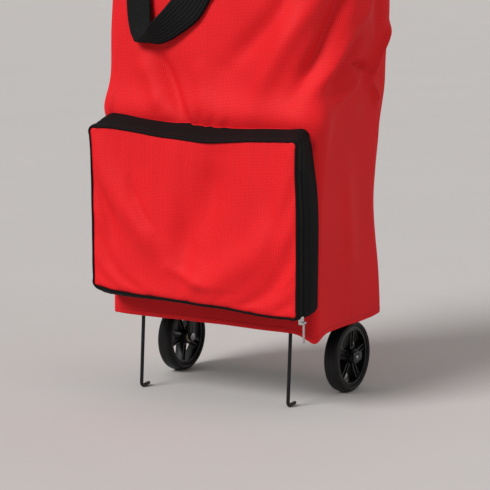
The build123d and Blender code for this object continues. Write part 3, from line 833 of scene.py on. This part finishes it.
def case_outline(grow, count=44):
    """Stations round the case as (x, z, outward x, outward z, distance round)."""
    half_w = (CASE_HI.x - CASE_LO.x) / 2 + grow
    half_h = (CASE_HI.z - CASE_LO.z) / 2 + grow
    radius = CASE_R + grow
    corners = ((1, 1), (-1, 1), (-1, -1), (1, -1))
    stations = []
    for k, (sx, sz) in enumerate(corners):
        cx, cz = sx * (half_w - radius), CASE_MID + sz * (half_h - radius)
        for i in range(9):
            angle = math.radians(90 * k + 90 * i / 8)
            ox, oz = math.cos(angle), math.sin(angle)
            stations.append((cx + radius * ox, cz + radius * oz, ox, oz))
        nx, nz = corners[(k + 1) % 4]
        ex, ez = nx * (half_w - radius), CASE_MID + nz * (half_h - radius)
        turn = math.radians(90 * (k + 1))
        ox, oz = math.cos(turn), math.sin(turn)
        ax, az = cx + radius * ox, cz + radius * oz
        bx, bz = ex + radius * ox, ez + radius * oz
        for i in range(1, count):
            t = i / count
            stations.append((ax + (bx - ax) * t, az + (bz - az) * t, ox, oz))
    rounded, distance = [], 0.0
    for i, station in enumerate(stations):
        if i:
            distance += math.hypot(station[0] - stations[i - 1][0], station[1] - stations[i - 1][1])
        rounded.append((*station, distance))
    return rounded


def case_shift(x, z, depth):
    """How the soft case leaves its flat outline: depth is 0 at the bag and 1 at the lid."""
    settings = bpy.context.scene.trolley_case
    on_right = 1 if x > 0 else 0
    up = smooth((z - CASE_MID) / (CASE_HI.z - CASE_MID))
    down = smooth((CASE_MID - z) / (CASE_MID - CASE_LO.z))
    edge = smooth((abs(x) - 0.10) / 0.06)
    lower = smooth((0.345 - z) / 0.10)
    # the top seam rises towards the bag, and the whole top rides up and sags in the middle
    raised_seam = settings.seam_rise * profile(x, (-0.15, 1.3), (-0.05, 1.1), (0.06, 0.9), (0.15, 1.0))
    dz = raised_seam * (1 - depth) ** 1.5 * up
    dz -= settings.sag * (0.5 + 0.9 * depth) * bell(x, 0.018, 0.085) * up
    dz += 0.0028 * depth * bell(x, -0.125, 0.030) * up
    dz += (0.0055 + 0.003 * (1 - depth) * bell(x, CASE_LO.x, 0.05)) * up
    # the lower edge climbs towards the left
    rise = profile(x, (-0.160, 1.0), (-0.120, 0.72), (-0.040, 0.56), (0.040, 0.36), (0.120, 0.0))
    dz += settings.lift * rise * depth ** 2 * down
    # the right side bows out below and draws in at its back, and the left top corner is drawn out
    dx = settings.bow * depth * edge * lower * (1.0 if on_right else 0.35)
    dx -= 0.0030 * bell(z, CASE_HI.z, 0.022) * bell(x, CASE_LO.x, 0.022)
    dx += 0.0030 * depth * edge * (1 - lower) * on_right
    dx += (1 - depth) * edge * (0.0040 * lower - 0.0085 * up) * on_right
    wave = Vector((x * 24, z * 24, depth * 1.3))
    dz += 0.0012 * noise.noise(wave) * depth
    dx += 0.0012 * noise.noise(wave + Vector((4, 4, 4))) * depth
    return dx, dz


def case_point(station, y, out=0.0):
    """A point on the soft case at one station of its outline."""
    x, z, ox, oz, _ = station
    depth = (WALL_FRONT - y) / (WALL_FRONT - LID_LO.y)
    dx, dz = case_shift(x, z, depth)
    out += CORNER_POINT * 2 * abs(ox * oz) * depth
    return Vector((x + dx + ox * out, y, z + dz + oz * out))


def case_back_y(x, z):
    """Where the case's band meets the bag's front wall."""
    up = smooth((z - CASE_MID) / (CASE_HI.z - CASE_MID))
    return front_wall_y(max(-HALF, min(HALF, x)), z + 0.014 * up) + 0.6 * MM


def band_bow(share):
    """Outward swell of the case's band between its two seams."""
    return 1.1 * MM * math.sin(math.pi * share)


def ring_piece(name, rows, stations, offsets, uv_rows):
    """A closed band whose rows are lists of y by station and outward offsets."""
    points, uvs = [], []
    for row, offset, v in zip(rows, offsets, uv_rows):
        for station, y in zip(stations, row):
            points.append(case_point(station, y, offset))
            uvs.append((station[4], v))
    faces = [face[::-1] for face in grid_faces(len(rows), len(stations), closed=True)]
    return new_piece(name, points, faces, uvs)


def make_gusset():
    """The case's black band, from its seam on the bag to the zip."""
    stations = case_outline(-0.2 * MM)
    zip_y = CASE_LO.y + 0.2 * MM
    rows, offsets, uv_rows = [], [], []
    count = 10
    for i in range(count + 1):
        share = i / count
        rows.append([
            case_back_y(s[0], s[1]) * (1 - share) + zip_y * share for s in stations
        ])
        pucker = 0.5 * MM if i == 7 else 0.0    # drawn in by the zip's stitching
        offsets.append(band_bow(share) - pucker)
        uv_rows.append(share * (WALL_FRONT - zip_y))
    rows.append([zip_y for _ in stations])
    offsets.append(-2.0 * MM)
    uv_rows.append(WALL_FRONT - zip_y + 2 * MM)
    return thicken(ring_piece("case_band", rows, stations, offsets, uv_rows), 1.3 * MM)


def make_case_piping(settings):
    """A round red piping in the seam between the case and the bag."""
    stations = case_outline(0.4 * MM)
    sides = 8
    points, uvs = [], []
    for k in range(sides):
        angle = 2 * math.pi * k / sides
        for s in stations:
            y = case_back_y(s[0], s[1]) - 0.7 * MM + settings.cord * math.sin(angle)
            points.append(case_point(s, y, settings.cord * math.cos(angle)))
            uvs.append((s[4], settings.cord * angle))
    faces = grid_faces(sides, len(stations), closed=True, looped=True)
    return new_piece("case_piping", points, faces, uvs)


def make_lid_band():
    """The lid's own narrow band, turned over the edge of the red panel as a binding."""
    stations = case_outline(-0.2 * MM)
    back_y, front_y = BAND_HI.y, LID_LO.y
    # each row across the band: its y, and how far it stands out of the case's outline
    runs = (
        (back_y, -2.0 * MM), (back_y, 0.1 * MM), (back_y - 3 * MM, 0.6 * MM),
        (back_y - 7 * MM, 0.7 * MM), (front_y + 2.0 * MM, 0.4 * MM), (front_y + 0.7 * MM, 0.0),
        (front_y + 0.2 * MM, -0.8 * MM), (front_y + 0.6 * MM, -1.5 * MM),
    )
    rows = [[y for _ in stations] for y, _ in runs]
    uv_rows = [back_y - y for y, _ in runs]
    band = ring_piece("lid_band_tape", rows, stations, [offset for _, offset in runs], uv_rows)
    return thicken(band, 1.1 * MM)


def make_lid_panel(settings):
    """The lid's red cloth, held all round by its binding and left a little slack."""
    nx, nz = 88, 62
    inset = 1.1 * MM
    half_w = (CASE_HI.x - CASE_LO.x) / 2 - inset
    half_h = (CASE_HI.z - CASE_LO.z) / 2 - inset
    radius = CASE_R - inset - 2.4 * CORNER_POINT
    own_cloth = 0.4                 # moves the weave, so that it doesn't repeat the wall's
    points, uvs, rim = [], [], []
    for j in range(nz + 1):
        for i in range(nx + 1):
            u, v = 2 * i / nx - 1, 2 * j / nz - 1
            x, z = u * half_w, v * half_h
            over_x, over_z = abs(x) - (half_w - radius), abs(z) - (half_h - radius)
            if over_x > 0 and over_z > 0:
                reach = max(over_x, over_z) / math.hypot(over_x, over_z)
                x = math.copysign(half_w - radius + over_x * reach, x)
                z = math.copysign(half_h - radius + over_z * reach, z)
            dx, dz = case_shift(x, z + CASE_MID, 1.0)
            inner = 1 - max(abs(u), abs(v)) ** 8
            swell = settings.puff * 0.35 * inner * (1 + 0.4 * noise.noise(Vector((x * 8, z * 8, 3.3))))
            points.append((x + dx, LID_LO.y + 0.9 * MM - swell, z + CASE_MID + dz))
            uvs.append((x, z + own_cloth))
            if i in (0, nx) or j in (0, nz):
                rim.append(len(points) - 1)
    panel = new_piece("lid_cloth", points, grid_faces(nz + 1, nx + 1), uvs)
    hang_cloth(panel, rim, settings.puff)
    swell_lid(panel)
    return thicken(panel, 1.2 * MM)


def hang_cloth(panel, rim, cap):
    """Lets a pinned, slightly slack panel settle under its own weight and the filling behind."""
    steps = 30
    start = [v.co.copy() for v in panel.data.vertices]
    pins = panel.vertex_groups.new(name="sewn")
    pins.add(rim, 1.0, "REPLACE")
    cloth = panel.modifiers.new("hang", "CLOTH")
    cloth.settings.quality = 6
    cloth.settings.mass = 0.25
    cloth.settings.vertex_group_mass = "sewn"
    cloth.settings.shrink_min = -0.006
    cloth.settings.tension_stiffness = 40
    cloth.settings.compression_stiffness = 40
    cloth.settings.bending_stiffness = 12
    cloth.settings.use_pressure = True
    cloth.settings.uniform_pressure_force = 0.7
    cloth.collision_settings.use_collision = False
    cloth.point_cache.frame_end = steps
    for number in range(1, steps + 1):
        bpy.context.scene.frame_set(number)
    graph = bpy.context.evaluated_depsgraph_get()
    settled = [v.co.copy() for v in panel.evaluated_get(graph).data.vertices]
    panel.modifiers.clear()
    panel.vertex_groups.clear()
    for vertex, was, now in zip(panel.data.vertices, start, settled):
        move = now - was
        if move.length > cap:
            move *= cap / move.length
        vertex.co = was + move
    bpy.context.scene.frame_set(1)


def swell_lid(panel):
    """Presses in the long soft creases and swellings that cross the lid."""
    creases = (
        (((-0.098, 0.300), (-0.080, 0.262), (-0.052, 0.228)), 0.0060, -0.0036),
        (((-0.155, 0.340), (-0.118, 0.275), (-0.078, 0.235), (-0.040, 0.190)), 0.0185, 0.0085),
        (((-0.128, 0.190), (-0.130, 0.250), (-0.150, 0.300)), 0.0130, -0.0050),
        (((0.040, 0.345), (0.030, 0.290), (-0.005, 0.230), (-0.015, 0.180)), 0.0280, -0.0100),
        (((0.155, 0.275), (0.105, 0.215), (0.040, 0.172), (-0.010, 0.162)), 0.0240, 0.0090),
        (((-0.030, 0.186), (0.000, 0.174), (0.026, 0.166)), 0.0070, 0.0040),
        (((0.110, 0.330), (0.130, 0.250), (0.136, 0.170)), 0.0110, -0.0030),
    )
    for vertex in panel.data.vertices:
        x, z = vertex.co.x, vertex.co.z
        for path, width, height in creases:
            gap, along = distance_to_path(path, x, z)
            ends = smooth(along / 0.3) * smooth((1 - along) / 0.3)
            edge = min(1.0, min(CASE_HI.x - abs(x), CASE_HI.z - z, z - CASE_LO.z - 0.012) / 0.02)
            vertex.co.y -= height * math.exp(-(gap / width) ** 2) * (0.3 + 0.7 * ends) * max(0.0, edge)


# ================================================================ handles
WEBBING_WIDTH = 40 * MM
STRAP_COLUMNS = 10
SEWN_GAP = 1.2 * MM                 # from the wall's flat face to the middle of a sewn end
LOOP_GAP = 3.9 * MM                 # from the wall's flat face to the middle of a hanging loop
LOOP_CLEAR = 2.4 * MM               # least distance from the swollen front wall to the loop


def strip(name, outer, inner):
    """A flat band between two edges."""
    points, uvs = [], []
    travelled = 0.0
    for r in range(len(outer)):
        if r:
            travelled += ((outer[r] + inner[r]) / 2 - (outer[r - 1] + inner[r - 1]) / 2).length
        for c in range(STRAP_COLUMNS + 1):
            t = c / STRAP_COLUMNS
            points.append(outer[r].lerp(inner[r], t))
            uvs.append((t * WEBBING_WIDTH, travelled))
    return new_piece(name, points, grid_faces(len(outer), STRAP_COLUMNS + 1), uvs)


def smooth_path(points, steps):
    """A Catmull-Rom curve through given points, as evenly split spans."""
    out = []
    closed = [points[0] * 2 - points[1], *points, points[-1] * 2 - points[-2]]
    for i in range(1, len(closed) - 2):
        a, b, c, d = closed[i - 1:i + 3]
        for k in range(steps):
            t = k / steps
            out.append(0.5 * ((2 * b) + (c - a) * t + (2 * a - 5 * b + 4 * c - d) * t ** 2
                              + (3 * b - a - 3 * c + d) * t ** 3))
    return out + [points[-1]]


def sewn_end_middle(node):
    """Distance from the bag's middle to the middle of a sewn end."""
    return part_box(node)[1].x - WEBBING_WIDTH / 2


def front_loop_edges():
    """Outer and inner edges of the front handle, which hangs flopped to one side."""
    middle, half = sewn_end_middle("front_handle_ends"), WEBBING_WIDTH / 2
    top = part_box("front_handle")[1].z
    near = WALL_FRONT - LOOP_GAP
    # each row: outer x, outer z, outer lift, inner x, inner z, inner lift
    rows = (
        (-middle - half, top, 0, -middle + half, top, 0),
        (-middle - 0.021, top - 0.018, 0, -middle + 0.019, top - 0.018, 0),
        (-0.124, 0.610, 0.001, -0.084, 0.612, 0.001),
        (-0.131, 0.560, 0.001, -0.091, 0.562, 0.003),
        (-0.130, 0.524, 0.002, -0.090, 0.530, 0.006),
        (-0.1245, 0.500, 0.004, -0.087, 0.512, 0.010),
        (-0.1165, 0.4885, 0.008, -0.0862, 0.5065, 0.014),
        (-0.1115, 0.4855, 0.012, -0.0858, 0.5060, 0.017),
        (-0.100, 0.4850, 0.012, -0.0840, 0.5070, 0.021),
        (-0.086, 0.4845, 0.011, -0.0800, 0.5110, 0.022),
        (-0.069, 0.4842, 0.009, -0.0735, 0.5180, 0.021),
        (-0.045, 0.4955, 0.006, -0.0635, 0.5290, 0.018),
        (-0.014, 0.5180, 0.003, -0.048, 0.5480, 0.012),
        (0.008, 0.550, 0.002, -0.026, 0.574, 0.007),
        (0.044, 0.592, 0.001, 0.010, 0.612, 0.003),
        (0.078, 0.628, 0, 0.042, 0.646, 0.001),
        (middle + 0.014, top - 0.022, 0, middle - 0.024, top - 0.014, 0),
        (middle + half, top, 0, middle - half, top, 0),
    )
    edges = []
    for first in (0, 3):
        points = smooth_path([Vector((r[first], near - r[first + 2], r[first + 1])) for r in rows], 5)
        edges.append([
            Vector((p.x, min(p.y, front_wall_y(p.x, p.z) - LOOP_CLEAR), p.z)) for p in points
        ])
    return edges


def rear_loop_edges():
    """Outer and inner edges of the rear handle, which hangs in an even loop, its inner edge tipped out."""
    middle, half = sewn_end_middle("rear_handle_ends"), WEBBING_WIDTH / 2
    handle_lo, handle_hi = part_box("rear_handle")
    near = WALL_BACK + LOOP_GAP
    lean_in = 6 * MM                # each straight run ends this far nearer the middle
    bend = handle_lo.z + half + 75 * MM     # the straight runs end and the bend starts here
    drop_out, drop_in = 93 * MM, 57 * MM    # from there down to the bend's two edges
    tip_out, tip_in = 1.5 * MM, 13.5 * MM   # how far the two edges stand out there
    outer, inner = [], []
    straight, turns = 8, 24
    for i in range(straight):
        z = handle_hi.z + (bend - handle_hi.z) * i / straight
        lean = lean_in * smooth(i / straight)
        outer.append(Vector((middle + half - lean, near, z)))
        inner.append(Vector((middle - half - lean, near, z)))
    for i in range(turns + 1):
        angle = math.pi * i / turns
        c, s = math.cos(angle), math.sin(angle)
        sway = 4 * MM * s * c
        x_out, x_in = middle + half - lean_in, middle - half - lean_in
        outer.append(Vector((x_out * c + sway, near + tip_out * s, bend - drop_out * s ** 0.85)))
        inner.append(Vector((x_in * c + sway, near + tip_in * s ** 1.5, bend - drop_in * s ** 1.15)))
    for i in range(straight):
        z = bend + (handle_hi.z - bend) * (i + 1) / straight
        lean = lean_in * smooth(1 - (i + 1) / straight)
        outer.append(Vector((-middle - half + lean, near, z)))
        inner.append(Vector((-middle + half + lean, near, z)))
    return outer, inner


def make_loop(name, edges, node, settings):
    """A hanging loop of webbing with its real thickness."""
    loop = strip(name, *edges)
    thicken(loop, settings.thick, offset=0.0)
    dress(loop, "ribbed_webbing", body_of_node(node), "black_webbing", node)


def webbing_pair(name, middle, rows, thick):
    """A left and a right piece of webbing; each row is its y, its z and its distance along."""
    points, faces, uvs = [], [], []
    for side in (-1, 1):
        first = len(points)
        for y, z, along in rows:
            for c in range(STRAP_COLUMNS + 1):
                share = c / STRAP_COLUMNS
                points.append((side * middle + WEBBING_WIDTH * (share - 0.5), y, z))
                uvs.append((share * WEBBING_WIDTH, along))
        faces += [tuple(first + i for i in f) for f in grid_faces(len(rows), STRAP_COLUMNS + 1)]
    return thicken(new_piece(name, points, faces, uvs), thick, offset=0.0)


def make_sewn_ends(name, node, outward, settings):
    """Two webbing ends flat on the wall, and the crossed box of stitches that holds each."""
    middle, half = sewn_end_middle(node), WEBBING_WIDTH / 2
    lo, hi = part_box(node)
    wall_y = WALL_FRONT if outward < 0 else WALL_BACK
    steps = 12
    heights = [lo.z + (hi.z - lo.z) * r / steps for r in range(steps + 1)]
    rows = [(wall_y + outward * SEWN_GAP, z, z) for z in heights]
    ends = webbing_pair(name, middle, rows, settings.thick)
    dress(ends, "ribbed_webbing", "bag", "black_webbing", node)
    margin = 4 * MM                 # from the stitches to the webbing's edges
    proud = 0.15 * MM               # the middle of a stitch stands this far off the webbing
    y = wall_y + outward * (SEWN_GAP + settings.thick / 2 + proud)
    paths = []
    for side in (-1, 1):
        x0, x1 = side * middle - half + margin, side * middle + half - margin
        z0, z1 = lo.z + margin, hi.z - margin
        corner = [Vector((x0, y, z0)), Vector((x1, y, z0)), Vector((x1, y, z1)), Vector((x0, y, z1))]
        paths.append([*corner, corner[0]])
        paths += [[corner[0], corner[2]], [corner[1], corner[3]]]
    repeat_along(f"{name}_stitches", paths, "sewing_thread_black", "bag", "black_webbing",
                 3.4 * MM, 2.6 * MM, 0.9 * MM, 0.7 * MM)


def make_turnovers(name, node, loop_node, outward, settings):
    """The webbing turned over from each sewn end into the loop."""
    wall_y = WALL_FRONT if outward < 0 else WALL_BACK
    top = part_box(loop_node)[1].z
    near, far = wall_y + outward * SEWN_GAP, wall_y + outward * LOOP_GAP
    radius = abs(far - near) / 2
    springy = 0.6 * MM              # the fold stands this much taller than a half circle
    turns = 10
    rows = []
    for r in range(turns + 1):
        angle = math.pi * r / turns
        y = (near + far) / 2 - outward * radius * math.cos(angle)
        rows.append((y, top + (radius + springy) * math.sin(angle), radius * angle))
    fold = webbing_pair(name, sewn_end_middle(node), rows, settings.thick)
    fold.data.materials.append(finish("ribbed_webbing"))
    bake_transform(fold)


# ================================================================ wheels
def make_tyre(side):
    """A solid tyre: rounded tread, a moulded parting line and a lip against the rim."""
    lo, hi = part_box(f"{side}_tyre")
    centre = (lo + hi) / 2
    half = (hi.x - lo.x) / 2
    outer = (hi.z - lo.z) / 2
    inner = outer - 8 * MM
    tread = inner + 2.4 * MM        # radius where the tread starts
    # the lip: millimetres in from the tyre's side, and out from the rim
    lip = ((1.6, 0.0), (0.7, 0.5), (0.5, 1.4), (1.1, 1.9))
    section = [(half - a * MM, inner + r * MM) for a, r in lip]
    steps = 12
    for i in range(steps):
        angle = math.pi / 2 * i / steps
        across, out = math.cos(angle) ** 0.62, math.sin(angle) ** 0.9
        section.append((half * across, tread + (outer - tread) * out))
    section += [(0.8 * MM, outer), (0.4 * MM, outer - 0.15 * MM)]
    mirrored = [(-a, r) for a, r in reversed(section)]
    seat = section[0][0] / 2
    ring = section + mirrored + [(-seat, inner), (seat, inner)]
    turns = 96
    points = []
    for t in range(turns):
        angle = 2 * math.pi * t / turns
        for a, r in ring:
            points.append((centre.x + a, centre.y + r * math.cos(angle), centre.z + r * math.sin(angle)))
    faces = grid_faces(turns, len(ring), closed=True, looped=True)
    tyre = new_piece(f"{side}_tyre_rubber", points, faces)
    fix_normals(tyre)
    dress(tyre, "tyre_rubber", f"{side}_wheel", "tyre", f"{side}_tyre")


def fix_normals(piece):
    """Turns every face of a closed shape outward."""
    shape = bmesh.new()
    shape.from_mesh(piece.data)
    bmesh.ops.recalc_face_normals(shape, faces=shape.faces)
    shape.to_mesh(piece.data)
    shape.free()


# ================================================================ stage
BAG_MID_Y = (WALL_FRONT + WALL_BACK) / 2
AIM_X = -3.05 * MM                  # the camera is aimed this far off the bag's middle
LIT_HEIGHT = 0.30                   # both lights are aimed at this height
KEY_PLACE = (-1.05, -2.9, 2.9)
KEY_ANGLE = math.radians(26)        # how large the main light looks from the trolley
FILL_PLACE = (2.6, -0.5, 1.3)
FILL_SIZE = 1.8


def make_floor(settings):
    """A round pale floor that curves up into a wall all round, far from the trolley."""
    disc, floor_radius, cove, wall = 0.6, 20.0, 6.0, 4.0
    turns, bends = 96, 12
    section = [(disc, 0.0), (floor_radius, 0.0)]
    for i in range(1, bends + 1):
        angle = math.radians(90 * i / bends)
        section.append((floor_radius + cove * math.sin(angle), cove * (1 - math.cos(angle))))
    section.append((floor_radius + cove, cove + wall))
    points = [
        (r * math.cos(2 * math.pi * k / turns), r * math.sin(2 * math.pi * k / turns), z)
        for r, z in section for k in range(turns)
    ]
    faces = [face[::-1] for face in grid_faces(len(section), turns, closed=True)]
    floor = new_piece("floor", points, [*faces, tuple(range(turns))])
    # sealed concrete: pale and matt, clouded over about 330 mm
    made, tree = new_finish("sealed_concrete")
    coords = add(tree, "ShaderNodeTexCoord").outputs["Object"]
    cloud = add(tree, "ShaderNodeTexNoise", {"Vector": coords, "Scale": 3.0, "Detail": 4.0})
    mix = add(
        tree, "ShaderNodeMix",
        {0: cloud.outputs["Fac"], 6: tinted(settings.floor, 0.94), 7: settings.floor}, data_type="RGBA",
    )
    bsdf = add(
        tree, "ShaderNodeBsdfPrincipled",
        {"Base Color": mix.outputs[2], "Roughness": 0.85, "IOR": 1.5},
    )
    add(tree, "ShaderNodeOutputMaterial", {"Surface": bsdf.outputs[0]})
    floor.data.materials.append(made)


def make_camera(scene, settings):
    """A long lens, low in front of the bag's right corner."""
    aim = Vector((AIM_X, BAG_MID_Y, settings.aim_height))
    az, el = settings.azimuth, settings.elevation
    back = Vector((math.sin(az) * math.cos(el), -math.cos(az) * math.cos(el), math.sin(el)))
    camera = bpy.data.objects.new("camera", bpy.data.cameras.new("camera"))
    scene.collection.objects.link(camera)
    camera.data.sensor_width = 36
    camera.data.lens = settings.lens
    camera.data.clip_start = 0.05
    camera.data.clip_end = 60
    camera.location = aim + back * settings.distance
    camera.rotation_euler = (-back).to_track_quat("-Z", "Y").to_euler()
    scene.camera = camera


def make_lights(scene, settings):
    """A soft main light from the upper left, a weak one from the right and an even sky."""
    sun = bpy.data.lights.new("key", "SUN")
    sun.energy = settings.key
    sun.angle = KEY_ANGLE
    panel = bpy.data.lights.new("fill", "AREA")
    panel.energy = settings.fill
    panel.size = FILL_SIZE
    panel.shape = "DISK"
    target = Vector((0, BAG_MID_Y, LIT_HEIGHT))
    for lamp, place in ((sun, KEY_PLACE), (panel, FILL_PLACE)):
        holder = bpy.data.objects.new(lamp.name, lamp)
        holder.location = place
        holder.rotation_euler = (target - Vector(place)).to_track_quat("-Z", "Y").to_euler()
        scene.collection.objects.link(holder)
    world = bpy.data.worlds.new("studio")
    world.use_nodes = True
    background = world.node_tree.nodes["Background"]
    background.inputs["Color"].default_value = linear("#F4F3F1")
    background.inputs["Strength"].default_value = settings.sky
    scene.world = world


# ================================================================ operators
class TROLLEY_OT_stage(bpy.types.Operator):
    """Builds the floor, the camera and the lights."""

    bl_idname = "trolley.stage"
    bl_label = "Stage and camera"

    def execute(self, context):
        settings = context.scene.trolley_stage
        make_floor(settings)
        make_camera(context.scene, settings)
        make_lights(context.scene, settings)
        context.scene.view_settings.view_transform = "Standard"
        return {"FINISHED"}


class TROLLEY_OT_bag(bpy.types.Operator):
    """Builds the soft bag: wall with its hems, cloth bottom and seams."""

    bl_idname = "trolley.bag"
    bl_label = "Bag"

    def execute(self, context):
        settings = context.scene.trolley_bag
        wall = make_bag_wall(settings)
        dress(wall, "red_oxford_cloth", "bag", "red_cloth",
              "front_panel", "back_panel", "left_panel", "right_panel", "top_hem")
        floor = make_bag_floor()
        dress(floor, "red_oxford_cloth", "bag", "red_cloth", "bottom_panel")
        proud = -0.25 * MM          # a distance inside the face, so the stitches stand out of it
        seam_heights = (
            BAG_RIM - 4 * MM, BAG_RIM - settings.hem + 3 * MM, BAG_FOOT + settings.foot_hem - 1.5 * MM,
        )
        rings = [bag_ring(z, proud) for z in seam_heights]
        back = [bag_point("back", 0.5, BAG_FOOT + 12 * MM + i * 5 * MM, proud)[0] for i in range(110)]
        beside = [p + Vector((6 * MM, 0, 0)) for p in back]
        repeat_along("bag_stitches", [*rings, back, beside], "sewing_thread_red", "bag", "red_cloth",
                     settings.stitch, settings.stitch * 0.72, 0.8 * MM, 0.6 * MM)
        return {"FINISHED"}


class TROLLEY_OT_case(bpy.types.Operator):
    """Builds the zip case: band, piping, lid and lid binding."""

    bl_idname = "trolley.case"
    bl_label = "Zip case"

    def execute(self, context):
        settings = context.scene.trolley_case
        gusset = make_gusset()
        dress(gusset, "woven_zip_tape", "bag", "black_tape", "case_gusset")
        dress(make_case_piping(settings), "red_oxford_cloth", "bag", "red_cloth")
        lid_band = make_lid_band()
        dress(lid_band, "woven_zip_tape", "lid", "black_tape", "lid_band")
        lid = make_lid_panel(settings)
        dress(lid, "red_oxford_cloth", "lid", "red_cloth", "lid_panel")
        return {"FINISHED"}


class TROLLEY_OT_zip(bpy.types.Operator):
    """Builds the zip's teeth, its hanging closed end, the slider and the puller."""

    bl_idname = "trolley.zip"
    bl_label = "Zip"

    def execute(self, context):
        settings = context.scene.trolley_case
        hard = context.scene.trolley_hard
        stations = case_outline(0.3 * MM)
        y = CASE_LO.y + 1.2 * MM
        ring = [case_point(s, y) for s in stations]
        tail = [Vector((CHAIN_HI.x - 0.2 * MM, y, CASE_LO.z + 10 * MM - i * MM)) for i in range(20)]
        teeth = repeat_along(
            "zip_teeth", [ring + ring[:1], tail], "moulded_zip_teeth", "bag", "black_tape",
            settings.tooth, settings.tooth * 0.55, 2.4 * MM, 1.3 * MM,
        )
        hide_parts("zip_chain")
        tape_edges = (0.6 * MM, 4.6 * MM)       # behind the tail's teeth
        steps = 12
        points, uvs = [], []
        for i in range(steps + 1):
            z = CASE_LO.z + 8 * MM - (18 * MM) * i / steps
            for shift in tape_edges:
                points.append((CHAIN_HI.x - 0.9 * MM, y + shift, z))
                uvs.append((shift, z))
        end = new_piece("zip_tail_tape", points, grid_faces(steps + 1, 2), uvs)
        thicken(end, 0.7 * MM, offset=0.0)
        dress(end, "woven_zip_tape", "bag", "black_tape")
        finished_copy("zip_slider", "polished_zinc", hard.edge)
        finished_copy("zip_puller", "polished_zinc", hard.edge * 0.6)
        return {"FINISHED"}


class TROLLEY_OT_handles(bpy.types.Operator):
    """Builds both webbing handles, their sewn ends and the turn-overs at the rim."""

    bl_idname = "trolley.handles"
    bl_label = "Handles"

    def execute(self, context):
        settings = context.scene.trolley_handles
        make_loop("front_handle_strap", front_loop_edges(), "front_handle", settings)
        make_loop("rear_handle_strap", rear_loop_edges(), "rear_handle", settings)
        for where, outward in (("front", -1), ("rear", 1)):
            ends = f"{where}_handle_ends"
            make_sewn_ends(f"{where}_handle_tabs", ends, outward, settings)
            make_turnovers(f"{where}_handle_turns", ends, f"{where}_handle", outward, settings)
        return {"FINISHED"}


class TROLLEY_OT_base(bpy.types.Operator):
    """Finishes the stiff base: board, plate, rivets, washers, clips, lugs and pins."""

    bl_idname = "trolley.base"
    bl_label = "Base"

    def execute(self, context):
        edge = context.scene.trolley_hard.edge
        finished_copy("base_board", "pressed_fibreboard", edge * 2)
        finished_copy("base_plate", "powder_coated_steel", edge)
        finished_copy("base_rivets", "zinc_plated_steel", edge)
        finished_copy("rivet_washers", "zinc_plated_steel", edge * 0.6)
        for side in SIDES:
            finished_copy(f"{side}_stand_clip", "powder_coated_steel", edge)
            finished_copy(f"{side}_hinge_lug", "powder_coated_steel", edge)
            finished_copy(f"{side}_hinge_pin", "zinc_plated_steel", edge)
        return {"FINISHED"}


class TROLLEY_OT_stand(bpy.types.Operator):
    """Finishes the folding wire stand."""

    bl_idname = "trolley.stand"
    bl_label = "Wire stand"

    def execute(self, context):
        finished_copy("wire_stand", "coated_wire", context.scene.trolley_hard.edge * 2)
        return {"FINISHED"}


class TROLLEY_OT_wheels(bpy.types.Operator):
    """Builds both wheels with their arms, axles, bushes and release tabs."""

    bl_idname = "trolley.wheels"
    bl_label = "Wheels"

    def execute(self, context):
        edge = context.scene.trolley_hard.edge
        for side in SIDES:
            finished_copy(f"{side}_wheel_arm", "powder_coated_steel", edge)
            finished_copy(f"{side}_axle", "zinc_plated_steel", edge)
            finished_copy(f"{side}_bush", "moulded_nylon", edge * 0.8)
            finished_copy(f"{side}_wheel_core", "moulded_polypropylene", edge * 1.4)
            finished_copy(f"{side}_wheel_hub", "moulded_polypropylene", edge)
            finished_copy(f"{side}_release_tab", "moulded_acetal", edge)
            make_tyre(side)
        return {"FINISHED"}


class TROLLEY_PT_panel(bpy.types.Panel):
    """Lists the trolley's pieces in the sidebar."""

    bl_idname = "TROLLEY_PT_panel"
    bl_label = "Shopping trolley"
    bl_space_type = "VIEW_3D"
    bl_region_type = "UI"
    bl_category = "Trolley"

    def draw(self, context):
        for operator in OPERATORS:
            self.layout.operator(operator.bl_idname)
        for name in GROUPS:
            settings = getattr(context.scene, name)
            box = self.layout.box()
            box.label(text=name.replace("_", " "))
            for key in settings.__annotations__:
                box.prop(settings, key)


GROUPS = {
    "trolley_bag": TROLLEY_PG_bag,
    "trolley_case": TROLLEY_PG_case,
    "trolley_handles": TROLLEY_PG_handles,
    "trolley_hard": TROLLEY_PG_hard,
    "trolley_stage": TROLLEY_PG_stage,
}
OPERATORS = (
    TROLLEY_OT_stage, TROLLEY_OT_bag, TROLLEY_OT_case, TROLLEY_OT_zip,
    TROLLEY_OT_handles, TROLLEY_OT_base, TROLLEY_OT_stand, TROLLEY_OT_wheels,
)
CLASSES = (*GROUPS.values(), *OPERATORS, TROLLEY_PT_panel)


def register():
    for item in CLASSES:
        bpy.utils.register_class(item)
    for name, group in GROUPS.items():
        setattr(bpy.types.Scene, name, bpy.props.PointerProperty(type=group))


def unregister():
    for name in GROUPS:
        delattr(bpy.types.Scene, name)
    for item in reversed(CLASSES):
        bpy.utils.unregister_class(item)


def main():
    """Registers the add-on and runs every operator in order."""
    register()
    bpy.ops.trolley.stage()
    bpy.ops.trolley.bag()
    bpy.ops.trolley.case()
    bpy.ops.trolley.zip()
    bpy.ops.trolley.handles()
    bpy.ops.trolley.base()
    bpy.ops.trolley.stand()
    bpy.ops.trolley.wheels()


if __name__ == "__main__":
    main()
